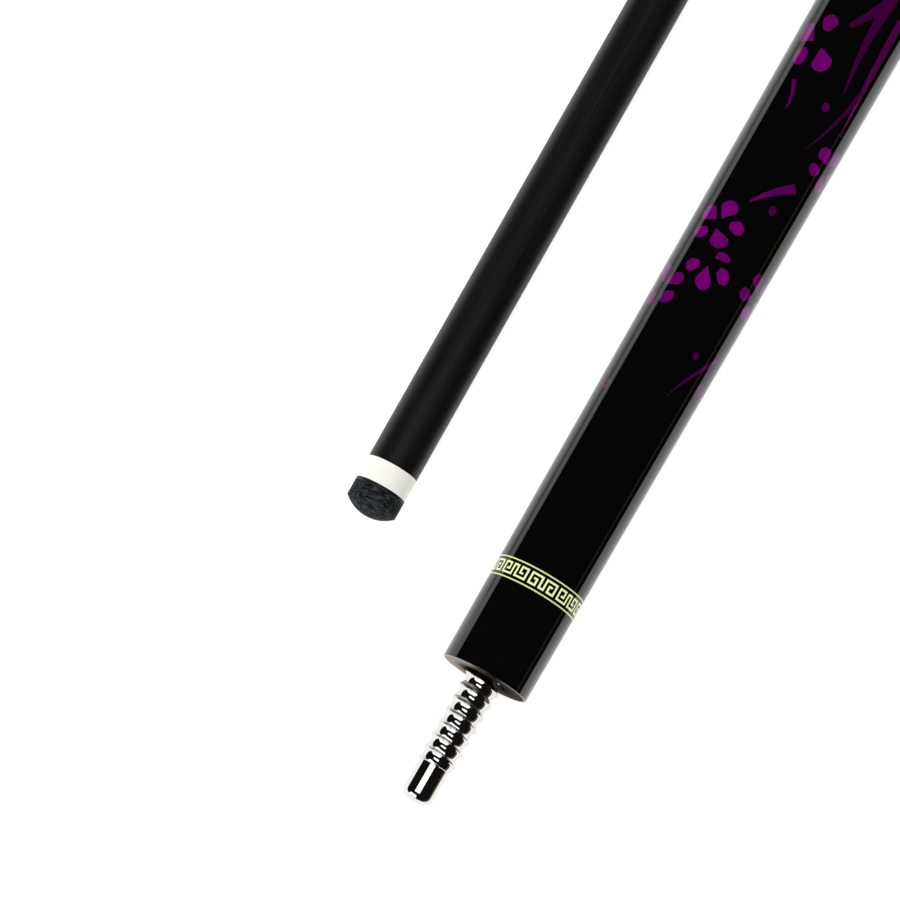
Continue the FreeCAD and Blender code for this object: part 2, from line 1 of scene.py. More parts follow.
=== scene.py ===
"""Two-piece pool cue, taken apart: the butt with its joint pin and the carbon shaft, side by side on a pale floor.

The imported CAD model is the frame. Each half has an axis, and a place on it is given by its station (the distance along
the axis from the half's back end), its radius and its angle (0 on top, growing towards +Y). Everything is in metres.
"""

import json
import logging
import math
from collections.abc import Mapping, Sequence
from dataclasses import dataclass, field, replace
from enum import Enum
from typing import ClassVar

import bpy
import numpy as np
from mathutils import Matrix

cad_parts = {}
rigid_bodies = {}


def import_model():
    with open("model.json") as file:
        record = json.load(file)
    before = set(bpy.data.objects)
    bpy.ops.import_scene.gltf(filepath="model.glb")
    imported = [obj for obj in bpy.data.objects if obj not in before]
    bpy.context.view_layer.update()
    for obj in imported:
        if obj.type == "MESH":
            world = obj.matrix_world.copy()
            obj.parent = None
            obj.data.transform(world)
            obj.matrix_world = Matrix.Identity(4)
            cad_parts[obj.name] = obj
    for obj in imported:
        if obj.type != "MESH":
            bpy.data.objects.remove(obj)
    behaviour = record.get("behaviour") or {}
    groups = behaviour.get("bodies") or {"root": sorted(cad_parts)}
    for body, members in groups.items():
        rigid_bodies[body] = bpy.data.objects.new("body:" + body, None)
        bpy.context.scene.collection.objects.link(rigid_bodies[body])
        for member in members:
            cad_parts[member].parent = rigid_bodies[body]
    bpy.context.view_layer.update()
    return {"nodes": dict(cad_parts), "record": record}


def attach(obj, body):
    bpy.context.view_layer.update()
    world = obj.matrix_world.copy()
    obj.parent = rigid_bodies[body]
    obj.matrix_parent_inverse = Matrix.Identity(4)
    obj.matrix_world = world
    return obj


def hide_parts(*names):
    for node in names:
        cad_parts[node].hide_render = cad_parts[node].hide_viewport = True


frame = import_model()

MM = 0.001
TURN = 2 * math.pi
WHITE = (1.0, 1.0, 1.0, 1.0)

# Columns around an axis, and how many a piece has whose edge is seen close
COLUMNS = 160
FINE_COLUMNS = 192
# Smallest rounding of a corner: a sharp one would leave faces without an area, which spoil the shading around them
EASED = 0.015 * MM
# What counts as no length, as no area and as one place
NO_LENGTH = 1e-12
NO_AREA = 1e-15
ONE_PLACE = 1e-9
# A CAD vertex this near to a node's end lies on it, and an end whose radii differ by more than this has a bore
END_ZONE = 0.02 * MM
LEAST_WALL = 0.1 * MM

log = logging.getLogger("pool_cue")


# ---------------------------------------------------------------------------------------------------- the two halves


def unit(vector: np.ndarray) -> np.ndarray:
    """The unit vector along a vector."""
    return vector / np.linalg.norm(vector)


def vertices_of(mesh: bpy.types.Mesh) -> np.ndarray:
    """A mesh's vertices, one to a row."""
    flat = np.empty(3 * len(mesh.vertices))
    mesh.vertices.foreach_get("co", flat)
    return flat.reshape(-1, 3)


@dataclass(frozen=True)
class Span:
    """How far a CAD node reaches along its half, and how thick it is."""

    back: float  # station of its back end
    front: float  # station of its front end
    back_skin: float  # outer radii at its ends
    front_skin: float
    back_bore: float  # inner radii at its ends, 0 where it is solid on the axis
    front_bore: float

    @property
    def length(self) -> float:
        """Length along the axis."""
        return self.front - self.back

    @property
    def middle(self) -> float:
        """Station of its middle."""
        return (self.back + self.front) / 2


@dataclass(frozen=True)
class Half:
    """One half of the cue: the point where its axis starts at the back end, and the unit vector that it runs along."""

    name: str
    root: np.ndarray
    way: np.ndarray

    @property
    def across(self) -> np.ndarray:
        """Level unit vector square to the axis, towards +Y."""
        return unit(np.cross([0.0, 0.0, 1.0], self.way))

    @property
    def up(self) -> np.ndarray:
        """Unit vector square to the axis, on its top side."""
        return np.cross(self.way, self.across)

    def lean(self, forward: np.ndarray, outward: np.ndarray, angle: np.ndarray) -> np.ndarray:
        """Turns directions on the half's section into world directions.

        Args:
            forward: share of the direction along the axis.
            outward: share away from the axis.
            angle: angle around the axis.

        Returns:
            World vectors: forward times the way plus outward times the spoke at that angle.
        """
        spoke = np.cos(angle)[..., None] * self.up + np.sin(angle)[..., None] * self.across
        return forward[..., None] * self.way + outward[..., None] * spoke

    def at(self, station: np.ndarray, radius: np.ndarray, angle: np.ndarray) -> np.ndarray:
        """World points at these stations, radii and angles, which are broadcast together."""
        station, radius, angle = np.broadcast_arrays(station, radius, angle)
        return self.root + self.lean(station, radius, angle)

    def span(self, node: str) -> Span:
        """Measures a CAD node from its own vertices.

        Args:
            node: name of the node.

        Returns:
            Its span on this half.
        """
        offset = vertices_of(frame["nodes"][node].data) - self.root
        station = offset @ self.way
        radius = np.linalg.norm(offset - station[:, None] * self.way, axis=1)
        back, front = float(station.min()), float(station.max())
        at_back, at_front = radius[station < back + END_ZONE], radius[station > front - END_ZONE]
        bores = [float(end.min()) if np.ptp(end) > LEAST_WALL else 0.0 for end in (at_back, at_front)]
        return Span(back, front, float(at_back.max()), float(at_front.max()), *bores)


def read_halves() -> tuple[Half, Half]:
    """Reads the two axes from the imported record.

    Returns:
        The butt, whose axis starts at the foot of the bumper, and the shaft, whose axis starts at its joint face.
    """
    record = frame["record"]
    foot = next(mount for mount in record["mounts"] if mount["name"] == "bumper_foot")
    screw = next(joint for joint in record["behaviour"]["joints"] if joint["name"] == "shaft_turn")
    butt, shaft = (
        Half(name, np.array(start["pos_m"], float), unit(-np.array(start["axis"], float)))
        for name, start in (("butt", foot), ("shaft", screw))
    )
    return butt, shaft


def body_of(node: str) -> str:
    """Name of the CAD body that a node belongs to."""
    bodies = frame["record"]["behaviour"]["bodies"]
    return next(body for body, nodes in bodies.items() if node in nodes)


def slot_of(node: str) -> str:
    """Name of the record's material slot of a node."""
    return next(part["material_slot"] for part in frame["record"]["subparts"] if part["node"] == node)


# -------------------------------------------------------------------------------------------------- turned surfaces


@dataclass(frozen=True)
class Corner:
    """A corner of a turned outline: its station, its radius and how far it is rounded, barely at all if not told."""

    station: float
    radius: float
    easing: float = EASED


@dataclass(frozen=True)
class Outline:
    """A turned piece's section, from back to front over its skin."""

    points: np.ndarray  # (station, radius) of each
    normals: np.ndarray  # outward (forward, outward) unit vectors
    closed: bool  # a ring with a bore, not a piece that ends on the axis


def eased_outline(corners: Sequence[Corner], closed: bool = True, arc_steps: int = 5) -> Outline:
    """Rounds the corners of a section with arcs tangent to both of their edges.

    Each arc starts where the edge is easing x tan(half the turn) short of the corner, and its normals turn evenly from
    one edge's normal to the next one's, so the shading has no crease.

    Args:
        corners: the corners from the back, over the skin, to the front.
        closed: True to join the last corner to the first.
        arc_steps: number of straight pieces in an arc.

    Returns:
        The outline.
    """
    places = np.array([[corner.station, corner.radius] for corner in corners])
    edges = np.roll(places, -1, axis=0) - places
    lengths = np.linalg.norm(edges, axis=1)
    edges = edges / np.maximum(lengths, NO_LENGTH)[:, None]
    normals = np.stack([-edges[:, 1], edges[:, 0]], axis=1)
    points, facing = [], []
    for number, corner in enumerate(corners):
        if not closed and number in (0, len(corners) - 1):
            points.append(places[number])
            facing.append(normals[0] if number == 0 else normals[-2])
            continue
        before, after, first = edges[number - 1], edges[number], normals[number - 1]
        turn = math.atan2(before[0] * after[1] - before[1] * after[0], float(before @ after))
        side = -math.copysign(1.0, turn)
        start = places[number] - before * corner.easing * math.tan(abs(turn) / 2)
        centre = start - side * corner.easing * first
        swing = turn * np.linspace(0.0, 1.0, arc_steps + 1)
        cos, sin = np.cos(swing), np.sin(swing)
        arc = np.stack([cos * first[0] - sin * first[1], sin * first[0] + cos * first[1]], axis=1)
        points.extend(centre + side * corner.easing * arc)
        facing.extend(arc)
    return Outline(np.array(points), np.array(facing), closed)


def divided(outline: Outline, step: float) -> Outline:
    """Adds points along an outline's longest edge, which is the skin.

    Args:
        outline: the outline of a long piece that isn't closed.
        step: longest stretch that is left without a point on that edge.

    Returns:
        The same outline with points and normals interpolated evenly along the edge.
    """
    lengths = np.linalg.norm(np.diff(outline.points, axis=0), axis=1)
    longest = int(np.argmax(lengths))
    index = np.arange(len(outline.points))
    between = np.arange(1, math.ceil(lengths.max() / step)) * step / lengths.max()
    place = np.insert(index.astype(float), longest + 1, longest + between)
    points, normals = (
        np.stack([np.interp(place, index, column) for column in columns.T], axis=1)
        for columns in (outline.points, outline.normals)
    )
    return Outline(points, normals / np.linalg.norm(normals, axis=1)[:, None], outline.closed)


def surface(name: str, points: np.ndarray, normals: np.ndarray, closed: bool) -> bpy.types.Object:
    """Makes a mesh object of a grid whose columns run around an axis.

    Rows that lie on one point become a single vertex with a fan of triangles, so poles and the seam are closed.

    Args:
        name: name of the object.
        points: world points, rows by columns by 3; the last column joins the first.
        normals: unit vectors of the same shape.
        closed: True to join the last row to the first.

    Returns:
        The object, with its place in its mesh.
    """
    rows, columns = points.shape[:2]
    index = np.arange(rows * columns).reshape(rows, columns)
    for row in (0, -1):
        if np.ptp(points[row], axis=0).max() < ONE_PLACE:
            index[row] = index[row, 0]
    stacked = np.vstack([index, index[:1]]) if closed else index
    low, high = stacked[:-1], stacked[1:]
    quads = np.stack([low, high, np.roll(high, -1, axis=1), np.roll(low, -1, axis=1)], axis=-1).reshape(-1, 4)
    kept, faces = np.unique(quads, return_inverse=True)
    faces = faces.reshape(-1, 4)
    back_fan, front_fan = faces[:, 0] == faces[:, 3], faces[:, 1] == faces[:, 2]
    whole = faces[~back_fan & ~front_fan].tolist()
    fans = faces[back_fan][:, [0, 1, 2]].tolist() + faces[front_fan][:, [0, 1, 3]].tolist()
    mesh = bpy.data.meshes.new(name)
    mesh.from_pydata(points.reshape(-1, 3)[kept], [], whole + fans)
    mesh.shade_smooth()
    mesh.normals_split_custom_set_from_vertices(normals.reshape(-1, 3)[kept])
    piece = bpy.data.objects.new(name, mesh)
    bpy.context.scene.collection.objects.link(piece)
    return piece


def angles(columns: int) -> np.ndarray:
    """Angles of a grid's columns, as one row."""
    return np.linspace(0.0, TURN, columns, endpoint=False)[None, :]


def turned(name: str, half: Half, outline: Outline, columns: int = COLUMNS) -> bpy.types.Object:
    """Turns an outline about a half's axis: each point of it becomes a ring at its own station and radius.

    Args:
        name: name of the piece.
        half: the half whose axis it turns about.
        outline: its section.
        columns: number of columns around the axis.

    Returns:
        The object.
    """
    angle = angles(columns)
    station, radius = outline.points[:, 0, None], outline.points[:, 1, None]
    forward, outward = outline.normals[:, 0, None], outline.normals[:, 1, None]
    normals = half.lean(*np.broadcast_arrays(forward, outward, angle))
    return surface(name, half.at(station, radius, angle), normals, outline.closed)


def ring_corners(span: Span, back_easing: float = EASED, front_easing: float = EASED) -> list[Corner]:
    """Corners of a plain ring or rod over a node's span, from its bore over its skin and back to its bore."""
    return [
        Corner(span.back, span.back_bore),
        Corner(span.back, span.back_skin, back_easing),
        Corner(span.front, span.front_skin, front_easing),
        Corner(span.front, span.front_bore),
    ]


def facing_of(points: np.ndarray) -> np.ndarray:
    """Unit normals of a grid: the cross product of its differences along the rows and around the columns."""
    along = np.gradient(points, axis=0)
    around = np.roll(points, -1, axis=1) - np.roll(points, 1, axis=1)
    normals = np.cross(along, around)
    return normals / np.maximum(np.linalg.norm(normals, axis=-1), NO_AREA)[..., None]


def capped(name: str, half: Half, points: np.ndarray) -> bpy.types.Object:
    """Makes a piece of a grid that starts and ends on the axis, where its ends face along the half."""
    normals = facing_of(points)
    normals[0], normals[-1] = -half.way, half.way
    return surface(name, points, normals, False)


# ------------------------------------------------------------------------------------------------- the blossom print


class Growth(Enum):
    """Which way a spray grows along its half."""

    FORWARD = 1.0
    BACKWARD = -1.0


@dataclass(frozen=True)
class Blossom:
    """A five-petalled flower seen a little from the side, in millimetres along and around its spray."""

    along: float  # of its centre
    around: float
    petal: float  # reach of a petal
    turn: float  # angle of the first petal
    lean: float = 0.0  # where it leans to: petals draw together there and reach further
    stretch: float = 0.0  # how much further
    petals: int = 5  # how many of the five show
    ink: ClassVar[float] = 1.0  # how thick its ink lies
    gather: ClassVar[float] = 0.7  # how far petals draw together, as a share of the stretch
    skew: ClassVar[tuple[float, float]] = (0.22, 2.4)  # most that a petal leans over, and the step in phase to the next
    hinge: ClassVar[float] = 0.6  # where that starts, as a share of the reach, as are the next ones
    # radius of its round end, how much that varies, and the step in phase
    disc: ClassVar[tuple[float, float, float]] = (0.31, 0.04, 2.9)
    point: ClassVar[float] = 0.2  # where its point lies
    cut: ClassVar[float] = 0.44  # where every other petal is cut off

    def distance(self, along: np.ndarray, around: np.ndarray) -> np.ndarray:
        """Signed distance to the nearest petal.

        The plane is drawn together towards the lean and folded into one petal's fifth of a turn. A petal is the hull of
        a point near the centre and a disc further out. Every other one is cut square at its inner end, and each is
        skewed by its own amount.

        Args:
            along: millimetres along the spray.
            around: millimetres around it.

        Returns:
            Millimetres to the petal's edge, negative inside.
        """
        offset, aside = along - self.along, around - self.around
        heading = np.arctan2(aside, offset)
        scale = 1 + self.stretch * np.cos(heading - self.lean)
        reach = np.hypot(offset, aside) / scale
        heading = heading + self.gather * self.stretch * np.sin(heading - self.lean)
        fifth = TURN / 5
        number = np.round((heading - self.turn) / fifth)
        folded = heading - self.turn - number * fifth
        which = np.mod(number, 5)
        out = reach * np.cos(folded)
        most, step = self.skew
        tilt = most * np.sin(step * which + self.turn)
        skewed = reach * np.sin(folded) - tilt * (out - self.hinge * self.petal)
        usual, varies, step = self.disc
        disc = self.petal * (usual + varies * np.cos(step * which + 3 * self.turn))
        point = self.point * self.petal
        run = self.petal - disc - point
        share = np.clip((out - point) / run, 0.0, 1.0)
        drop = np.hypot(out - point - share * run, skewed) - disc * share
        cut = self.cut * self.petal - out
        shape = np.where(np.mod(which, 2) == 1, np.maximum(drop, cut), drop) * scale
        return np.where(which < self.petals, shape, np.inf)


@dataclass(frozen=True)
class Twig:
    """A stroke of the brush, in millimetres: cut square at its thick start, thinning to its end and bent aside."""

    along: float
    around: float
    to_along: float
    to_around: float
    thick: float
    thin: float = 0.3
    bend: float = 0.0
    ink: float = 0.15

    def distance(self, along: np.ndarray, around: np.ndarray) -> np.ndarray:
        """Signed distance to the stroke: to its bowed middle line, less half the width there."""
        length = math.hypot(self.to_along - self.along, self.to_around - self.around)
        forward = (self.to_along - self.along) / length
        sideways = (self.to_around - self.around) / length
        offset, aside = along - self.along, around - self.around
        run = offset * forward + aside * sideways
        share = np.clip(run / length, 0.0, 1.0)
        bow = 4 * self.bend * share * (1 - share)
        across = aside * forward - offset * sideways - bow
        beyond = np.maximum(run - length, 0.0)
        width = self.thick + (self.thin - self.thick) * share
        return np.maximum(np.hypot(across, beyond) - width / 2, -run)


@dataclass(frozen=True)
class Bud:
    """A round bud, in millimetres, longer than it is wide by its slimness."""

    along: float
    around: float
    size: float
    ink: ClassVar[float] = 0.45
    slimness: ClassVar[float] = 1.25

    def distance(self, along: np.ndarray, around: np.ndarray) -> np.ndarray:
        """Signed distance to the oval."""
        return np.hypot((along - self.along) / self.slimness, around - self.around) - self.size / 2


@dataclass(frozen=True)
class Spray:
    """A spray of plum blossom placed on a half."""

    station: float  # its zero along the axis, in metres
    angle: float  # its zero around the axis
    growth: Growth
    marks: tuple[Blossom | Twig | Bud, ...]

    def lay(self, station: np.ndarray, radius: np.ndarray, angle: np.ndarray, nearest: np.ndarray,
            ink: np.ndarray) -> None:
        """Prints the spray on a skin: each mark takes the points that it is nearest to.

        Args:
            station: stations of the skin's points.
            radius: their radii.
            angle: their angles.
            nearest: their distance to the nearest mark so far, in millimetres, which is updated.
            ink: how thick that mark's ink is, which is updated.
        """
        along = (station - self.station) / MM * self.growth.value
        around = (np.mod(angle - self.angle + math.pi, TURN) - math.pi) * radius / MM
        for mark in self.marks:
            gap = mark.distance(along, around)
            ink[gap < nearest] = mark.ink
            np.minimum(nearest, gap, out=nearest)


# It grows from its tip, which lies towards the joint, to its thickest branch
PLUM_SPRAY = (
    Blossom(12.4, 0.6, 5.2, 0.54, 3.05, 0.42, 4),
    Blossom(20.9, -2.5, 6.2, 0.12),
    Blossom(2.0, -8.4, 5.8, 0.9, 0.0, 0.2),
    Blossom(45.2, 14.8, 5.6, 0.4),
    Blossom(11.0, 15.8, 5.8, 5.7),
    Blossom(69.8, -3.2, 7.4, 2.5, 0.0, 0.0, 4),
    Blossom(68.6, -17.4, 5.4, 0.9),
    Blossom(92.0, 14.0, 6.4, 0.5),
    Twig(36.8, 9.4, 28.6, 1.4, 2.4, 0.4, 0.5, 0.9),
    Twig(94.0, 9.0, 76.7, 1.7, 2.8, 1.4, -0.8),
    Twig(87.0, 7.0, 61.9, 8.0, 3.0, 0.3, 0.8),
    Twig(66.1, 12.4, 45.4, 6.3, 1.3, 0.3, -0.8),
    Twig(84.0, 11.8, 53.4, 13.4, 2.0, 0.3, 0.6, 0.6),
    Twig(59.4, -4.2, 52.1, -2.2, 1.2, 0.3, -0.6, 0.5),
    Twig(-5.6, 15.6, -20.0, 7.0, 1.3, 0.2, 0.9, 0.4),
    Bud(29.4, 7.1, 1.8),
    Bud(56.7, 5.8, 1.8),
    Bud(-8.6, 8.5, 1.5),
    Bud(-14.2, 14.8, 2.8),
    Bud(-23.4, -8.0, 2.2),
)


# --------------------------------------------------------------------------------------------------------- materials


def linear(colour: str) -> tuple[float, float, float, float]:
    """Turns an sRGB hex colour into linear values.

    Args:
        colour: the colour as "#rrggbb".

    Returns:
        Red, green, blue and an alpha of 1.
    """
    parts = [int(colour[place:place + 2], 16) / 255 for place in (1, 3, 5)]
    red, green, blue = (part / 12.92 if part <= 0.04045 else ((part + 0.055) / 1.055) ** 2.4 for part in parts)
    return red, green, blue, 1.0


Value = float | tuple | bpy.types.NodeSocket | bpy.types.Node | None


def add(tree: bpy.types.NodeTree, kind: str, values: Sequence[Value] | Mapping = (),
        **settings: object) -> bpy.types.Node:
    """Adds a shader node with its settings and links.

    Args:
        tree: the tree to add to.
        kind: the node's type without its ShaderNode prefix.
        values: what goes into its inputs, in order or by name or number; None leaves one alone, a node stands for its
            first output.
        **settings: the node's own settings.

    Returns:
        The node.
    """
    made = tree.nodes.new("ShaderNode" + kind)
    for name, setting in settings.items():
        setattr(made, name, setting)
    pairs = values.items() if isinstance(values, Mapping) else enumerate(values)
    for key, value in pairs:
        if value is None:
            continue
        if isinstance(value, bpy.types.Node):
            value = value.outputs[0]
        if isinstance(value, bpy.types.NodeSocket):
            tree.links.new(value, made.inputs[key])
        else:
            made.inputs[key].default_value = value
    return made


def blank_tree(owner: bpy.types.Material | bpy.types.World) -> bpy.types.NodeTree:
    """The node tree of a new material or world, emptied."""
    owner.use_nodes = True
    owner.node_tree.nodes.clear()
    return owner.node_tree


def make_axis_group(half: Half) -> bpy.types.NodeTree:
    """Makes a node group that turns Object coordinates into places on a half.

    The place's three parts along the half's own directions come from dot products, in millimetres. The angle is the
    arctangent of across over up, and the radius is the length of those two.

    Args:
        half: the half.

    Returns:
        The group, with outputs Place (across, up, station), Station, Angle and Radius.
    """
    group = bpy.data.node_groups.new(half.name + "_axis", "ShaderNodeTree")
    for name, kind in (("Place", "Vector"), ("Station", "Float"), ("Angle", "Float"), ("Radius", "Float")):
        group.interface.new_socket(name, in_out="OUTPUT", socket_type="NodeSocket" + kind)
    spot = add(group, "TexCoord").outputs["Object"]
    offset = add(group, "VectorMath", [spot, tuple(half.root)], operation="SUBTRACT")
    parts = [
        add(group, "VectorMath", [offset, tuple(direction / MM)], operation="DOT_PRODUCT").outputs["Value"]
        for direction in (half.across, half.up, half.way)
    ]
    place = add(group, "CombineXYZ", parts)
    angle = add(group, "Math", parts[:2], operation="ARCTAN2")
    flat = add(group, "CombineXYZ", parts[:2])
    radius = add(group, "VectorMath", [flat], operation="LENGTH").outputs["Value"]
    end = group.nodes.new("NodeGroupOutput")
    for number, socket in enumerate((place.outputs[0], parts[2], angle.outputs[0], radius)):
        group.links.new(socket, end.inputs[number])
    return group


@dataclass(frozen=True)
class Sheet:
    """The node tree of one material, with what patterns are drawn by."""

    tree: bpy.types.NodeTree
    shader: bpy.types.Node | None = None  # its principled shader, if it has one
    axis: bpy.types.Node | None = None  # its half's axis group in that tree, if it has one
    usual: ClassVar[tuple[float, float]] = (0.3, 0.7)  # range that most of a noise lies in

    def on_half(self, name: str) -> Value:
        """Place, Station, Angle or Radius on the half, in millimetres and radians."""
        return self.axis.outputs[name]

    def number(self, operation: str, *values: Value) -> Value:
        """Result of a sum on numbers."""
        return add(self.tree, "Math", values, operation=operation).outputs[0]

    def vector(self, operation: str, *values: Value) -> Value:
        """Result of a sum on vectors."""
        return add(self.tree, "VectorMath", values, operation=operation).outputs[0]

    def noise(self, grain: Sequence[float], detail: float = 2.0, place: Value = None) -> Value:
        """Noise in grains of a real size.

        Args:
            grain: millimetres that a grain is across, up and along the half.
            detail: octaves of finer noise.
            place: where the noise is read, or None for the place on the half.

        Returns:
            The socket with the noise, from 0 to 1.
        """
        place = self.on_half("Place") if place is None else place
        scaled = self.vector("MULTIPLY", place, tuple(1 / size for size in grain))
        return add(self.tree, "TexNoise", {"Vector": scaled, "Scale": 1.0, "Detail": detail}).outputs[0]

    def ramp(self, value: Value, low: float, high: float, to_low: float = 0.0, to_high: float = 1.0) -> Value:
        """Maps a value from one range onto another, eased at both ends and clamped."""
        ranges = [value, low, high, to_low, to_high]
        return add(self.tree, "MapRange", ranges, interpolation_type="SMOOTHSTEP").outputs[0]

    def inside(self, distance: Value, edge: float, soft: float) -> Value:
        """1 where a distance is less than the edge, 0 beyond it, and soft over so many millimetres to each side."""
        return self.ramp(distance, edge - soft, edge + soft, 1.0, 0.0)

    def blend(self, share: Value, first: str | Value, second: str | Value) -> Value:
        """Mixes two colours, each a socket or sRGB hex, by a share of the second."""
        first, second = (linear(colour) if isinstance(colour, str) else colour for colour in (first, second))
        return add(self.tree, "Mix", {0: share, 6: first, 7: second}, data_type="RGBA").outputs[2]

    def feed(self, name: str, value: Value) -> None:
        """Links a socket to one of the shader's inputs."""
        self.tree.links.new(value, self.shader.inputs[name])

    def polish(self, pattern: Value, roughness: float, least: float, most: float) -> None:
        """Varies the roughness with a noise, between these shares of it."""
        self.feed("Roughness", self.ramp(pattern, *self.usual, roughness * least, roughness * most))

    def emboss(self, height: Value, depth: float) -> None:
        """Bumps the surface with a height from 0 to 1, which stands for that many millimetres at 1."""
        bump = add(self.tree, "Bump", {"Strength": 1.0, "Distance": depth * MM, "Height": height})
        self.feed("Normal", bump.outputs[0])


@dataclass(frozen=True)
class Finish:
    """A finish of one real material, with its sizes in millimetres."""

    name: str  # after what it is and how it was made
    colour: str  # sRGB hex
    roughness: float
    metallic: float = 0.0  # 1 for a metal
    ior: float = 1.5  # for what isn't a metal

    def material(self, axis: bpy.types.NodeTree) -> bpy.types.Material:
        """Makes the material.

        Args:
            axis: node group of the half that it is on.

        Returns:
            A new material with this finish.
        """
        made = bpy.data.materials.new(self.name)
        tree = blank_tree(made)
        shader = add(tree, "BsdfPrincipled", {
            "Base Color": linear(self.colour), "Metallic": self.metallic, "Roughness": self.roughness})
        if not self.metallic:
            shader.inputs["IOR"].default_value = self.ior
        self.dress(Sheet(tree, shader, add(tree, "Group", node_tree=axis)))
        add(tree, "OutputMaterial", [shader])
        made.diffuse_color = linear(self.colour)
        return made

    def fitted(self, span: Span) -> "Finish":
        """This finish, laid out for a ring of this span; most finishes are the same everywhere."""
        return self

    def dress(self, sheet: Sheet) -> None:
        """Adds the finish's own pattern; a finish without one is left as its colour."""


@dataclass(frozen=True)
class GlossLacquer(Finish):
    """Polyurethane lacquer, sprayed, sanded and buffed over a printed film.

    It gives the eye a deep black with a mirror's edge, and a print that lies under the gloss.
    """

    print_colour: str = "#6f006b"  # where the ink lies thick
    thin_colour: str = "#30002b"  # where it lies thin
    soft: float = 0.05  # half the width of the print's soft edge
    cloud: float = 16.0  # length over which the ink's thickness changes
    clouded: tuple[float, float] = (0.35, 0.6)  # the noise that it changes between
    thinnest: float = 0.55  # least share of the ink
    ripple: tuple[float, float, float] = (3.0, 3.0, 6.0)  # grain of the lacquer's faint ripple
    depth: float = 0.0006  # of the ripple

    def dress(self, sheet: Sheet) -> None:
        """Colours the print by its signed distance, and lays a faint ripple over the lacquer."""
        edge, ink = (
            add(sheet.tree, "Attribute", attribute_name=name).outputs["Fac"] for name in ("print_edge", "print_ink"))
        drift = sheet.ramp(sheet.noise((self.cloud,) * 3), *self.clouded, self.thinnest, 1.0)
        thickness = sheet.number("MULTIPLY", ink, drift)
        purple = sheet.blend(thickness, self.thin_colour, self.print_colour)
        sheet.feed("Base Color", sheet.blend(sheet.inside(edge, 0.0, self.soft), self.colour, purple))
        sheet.emboss(sheet.noise(self.ripple, 1.0), self.depth)


@dataclass(frozen=True)
class PolishedResin(Finish):
    """Cast resin, turned and buffed: a mirror gloss with the faintest turning marks, of this grain in millimetres."""

    marks: tuple[float, float, float] = (5.0, 5.0, 0.6)

    def dress(self, sheet: Sheet) -> None:
        """Varies the polish a little around the piece."""
        sheet.polish(sheet.noise(self.marks), self.roughness, 0.8, 1.3)


@dataclass(frozen=True)
class Stroke:
    """A straight stroke of the key pattern: a rectangle's centre and half sizes, in millimetres."""

    around: float
    along: float
    half_around: float
    half_along: float


@dataclass(frozen=True)
class KeyPattern(PolishedResin):
    """A meander of squared spirals, printed pale green on black resin and polished over.

    A unit is two spirals joined by a U. Every other unit is turned front to back, and an odd count leaves its one seam
    underneath. The strokes are laid out on one half of a unit, which is mirrored about its middle.
    """

    line_colour: str = "#f0fbb4"
    units: int = 9  # around the ring
    unit: float = 7.43  # girth that one takes up, which sets how many whole ones a ring holds
    height: float = 2.95  # outer height, along the half
    width: float = 6.85  # outer width of a unit
    stroke: float = 0.46  # width of a stroke
    soft: float = 0.03  # half the width of its soft edge
    riser: float = 0.55  # from the unit's middle to a riser's
    pitch: float = 1.06  # between the middles of neighbouring strokes
    hook: float = 0.55  # length of a spiral's last stroke, as a share of the pitch
    turn: float = 0.045  # angle of a unit's middle from the top
    middle: float = 0.0  # station of the band's middle
    skin: float = 10.65  # radius of the band

    def fitted(self, span: Span) -> "KeyPattern":
        """This pattern in the middle of a ring's width, with as many whole units as its girth holds."""
        skin = (span.back_skin + span.front_skin) / 2 / MM
        return replace(self, middle=span.middle / MM, skin=skin, units=round(TURN * skin / self.unit))

    def strokes(self) -> list[Stroke]:
        """Lays out one half of a unit: the U's bottom, the riser, and the spiral from its outer turn to its hook."""
        pen = self.stroke / 2
        edge = self.height / 2 - pen
        outer = self.width / 2 - pen
        inner = self.riser + self.pitch
        shelf = -edge + self.pitch
        hook = inner + self.hook * self.pitch
        return [
            Stroke(self.riser / 2, edge, self.riser / 2 + pen, pen),
            Stroke(self.riser, 0.0, pen, edge + pen),
            Stroke((self.riser + outer) / 2, -edge, (outer - self.riser) / 2 + pen, pen),
            Stroke(outer, 0.0, pen, edge + pen),
            Stroke((inner + outer) / 2, edge, (outer - inner) / 2 + pen, pen),
            Stroke(inner, (shelf + edge) / 2, pen, (edge - shelf) / 2 + pen),
            Stroke((inner + hook) / 2, shelf, (hook - inner) / 2 + pen, pen),
        ]

    def dress(self, sheet: Sheet) -> None:
        """Draws the strokes as rectangles of signed distance and colours what lies inside any of them."""
        super().dress(sheet)
        turned_to = sheet.number("SUBTRACT", sheet.on_half("Angle"), self.turn)
        unit_place = sheet.number("MULTIPLY", turned_to, self.units / TURN)
        number = sheet.number("ROUND", unit_place)
        share = sheet.number("SUBTRACT", unit_place, number)
        around = sheet.number("ABSOLUTE", sheet.number("MULTIPLY", share, TURN / self.units * self.skin))
        odd = sheet.number("FLOORED_MODULO", number, 2.0)
        flip = sheet.number("MULTIPLY_ADD", odd, -2.0, 1.0)
        offset = sheet.number("SUBTRACT", sheet.on_half("Station"), self.middle)
        spot = add(sheet.tree, "CombineXYZ", [around, sheet.number("MULTIPLY", offset, flip)])
        nearest: Value = None
        for stroke in self.strokes():
            away = sheet.vector("ABSOLUTE", sheet.vector("SUBTRACT", spot, (stroke.around, stroke.along, 0.0)))
            gap = sheet.vector("SUBTRACT", away, (stroke.half_around, stroke.half_along, 0.0))
            far = sheet.number("MAXIMUM", *add(sheet.tree, "SeparateXYZ", [gap]).outputs[:2])
            nearest = far if nearest is None else sheet.number("MINIMUM", nearest, far)
        sheet.feed("Base Color", sheet.blend(sheet.inside(nearest, 0.0, self.soft), self.colour, self.line_colour))


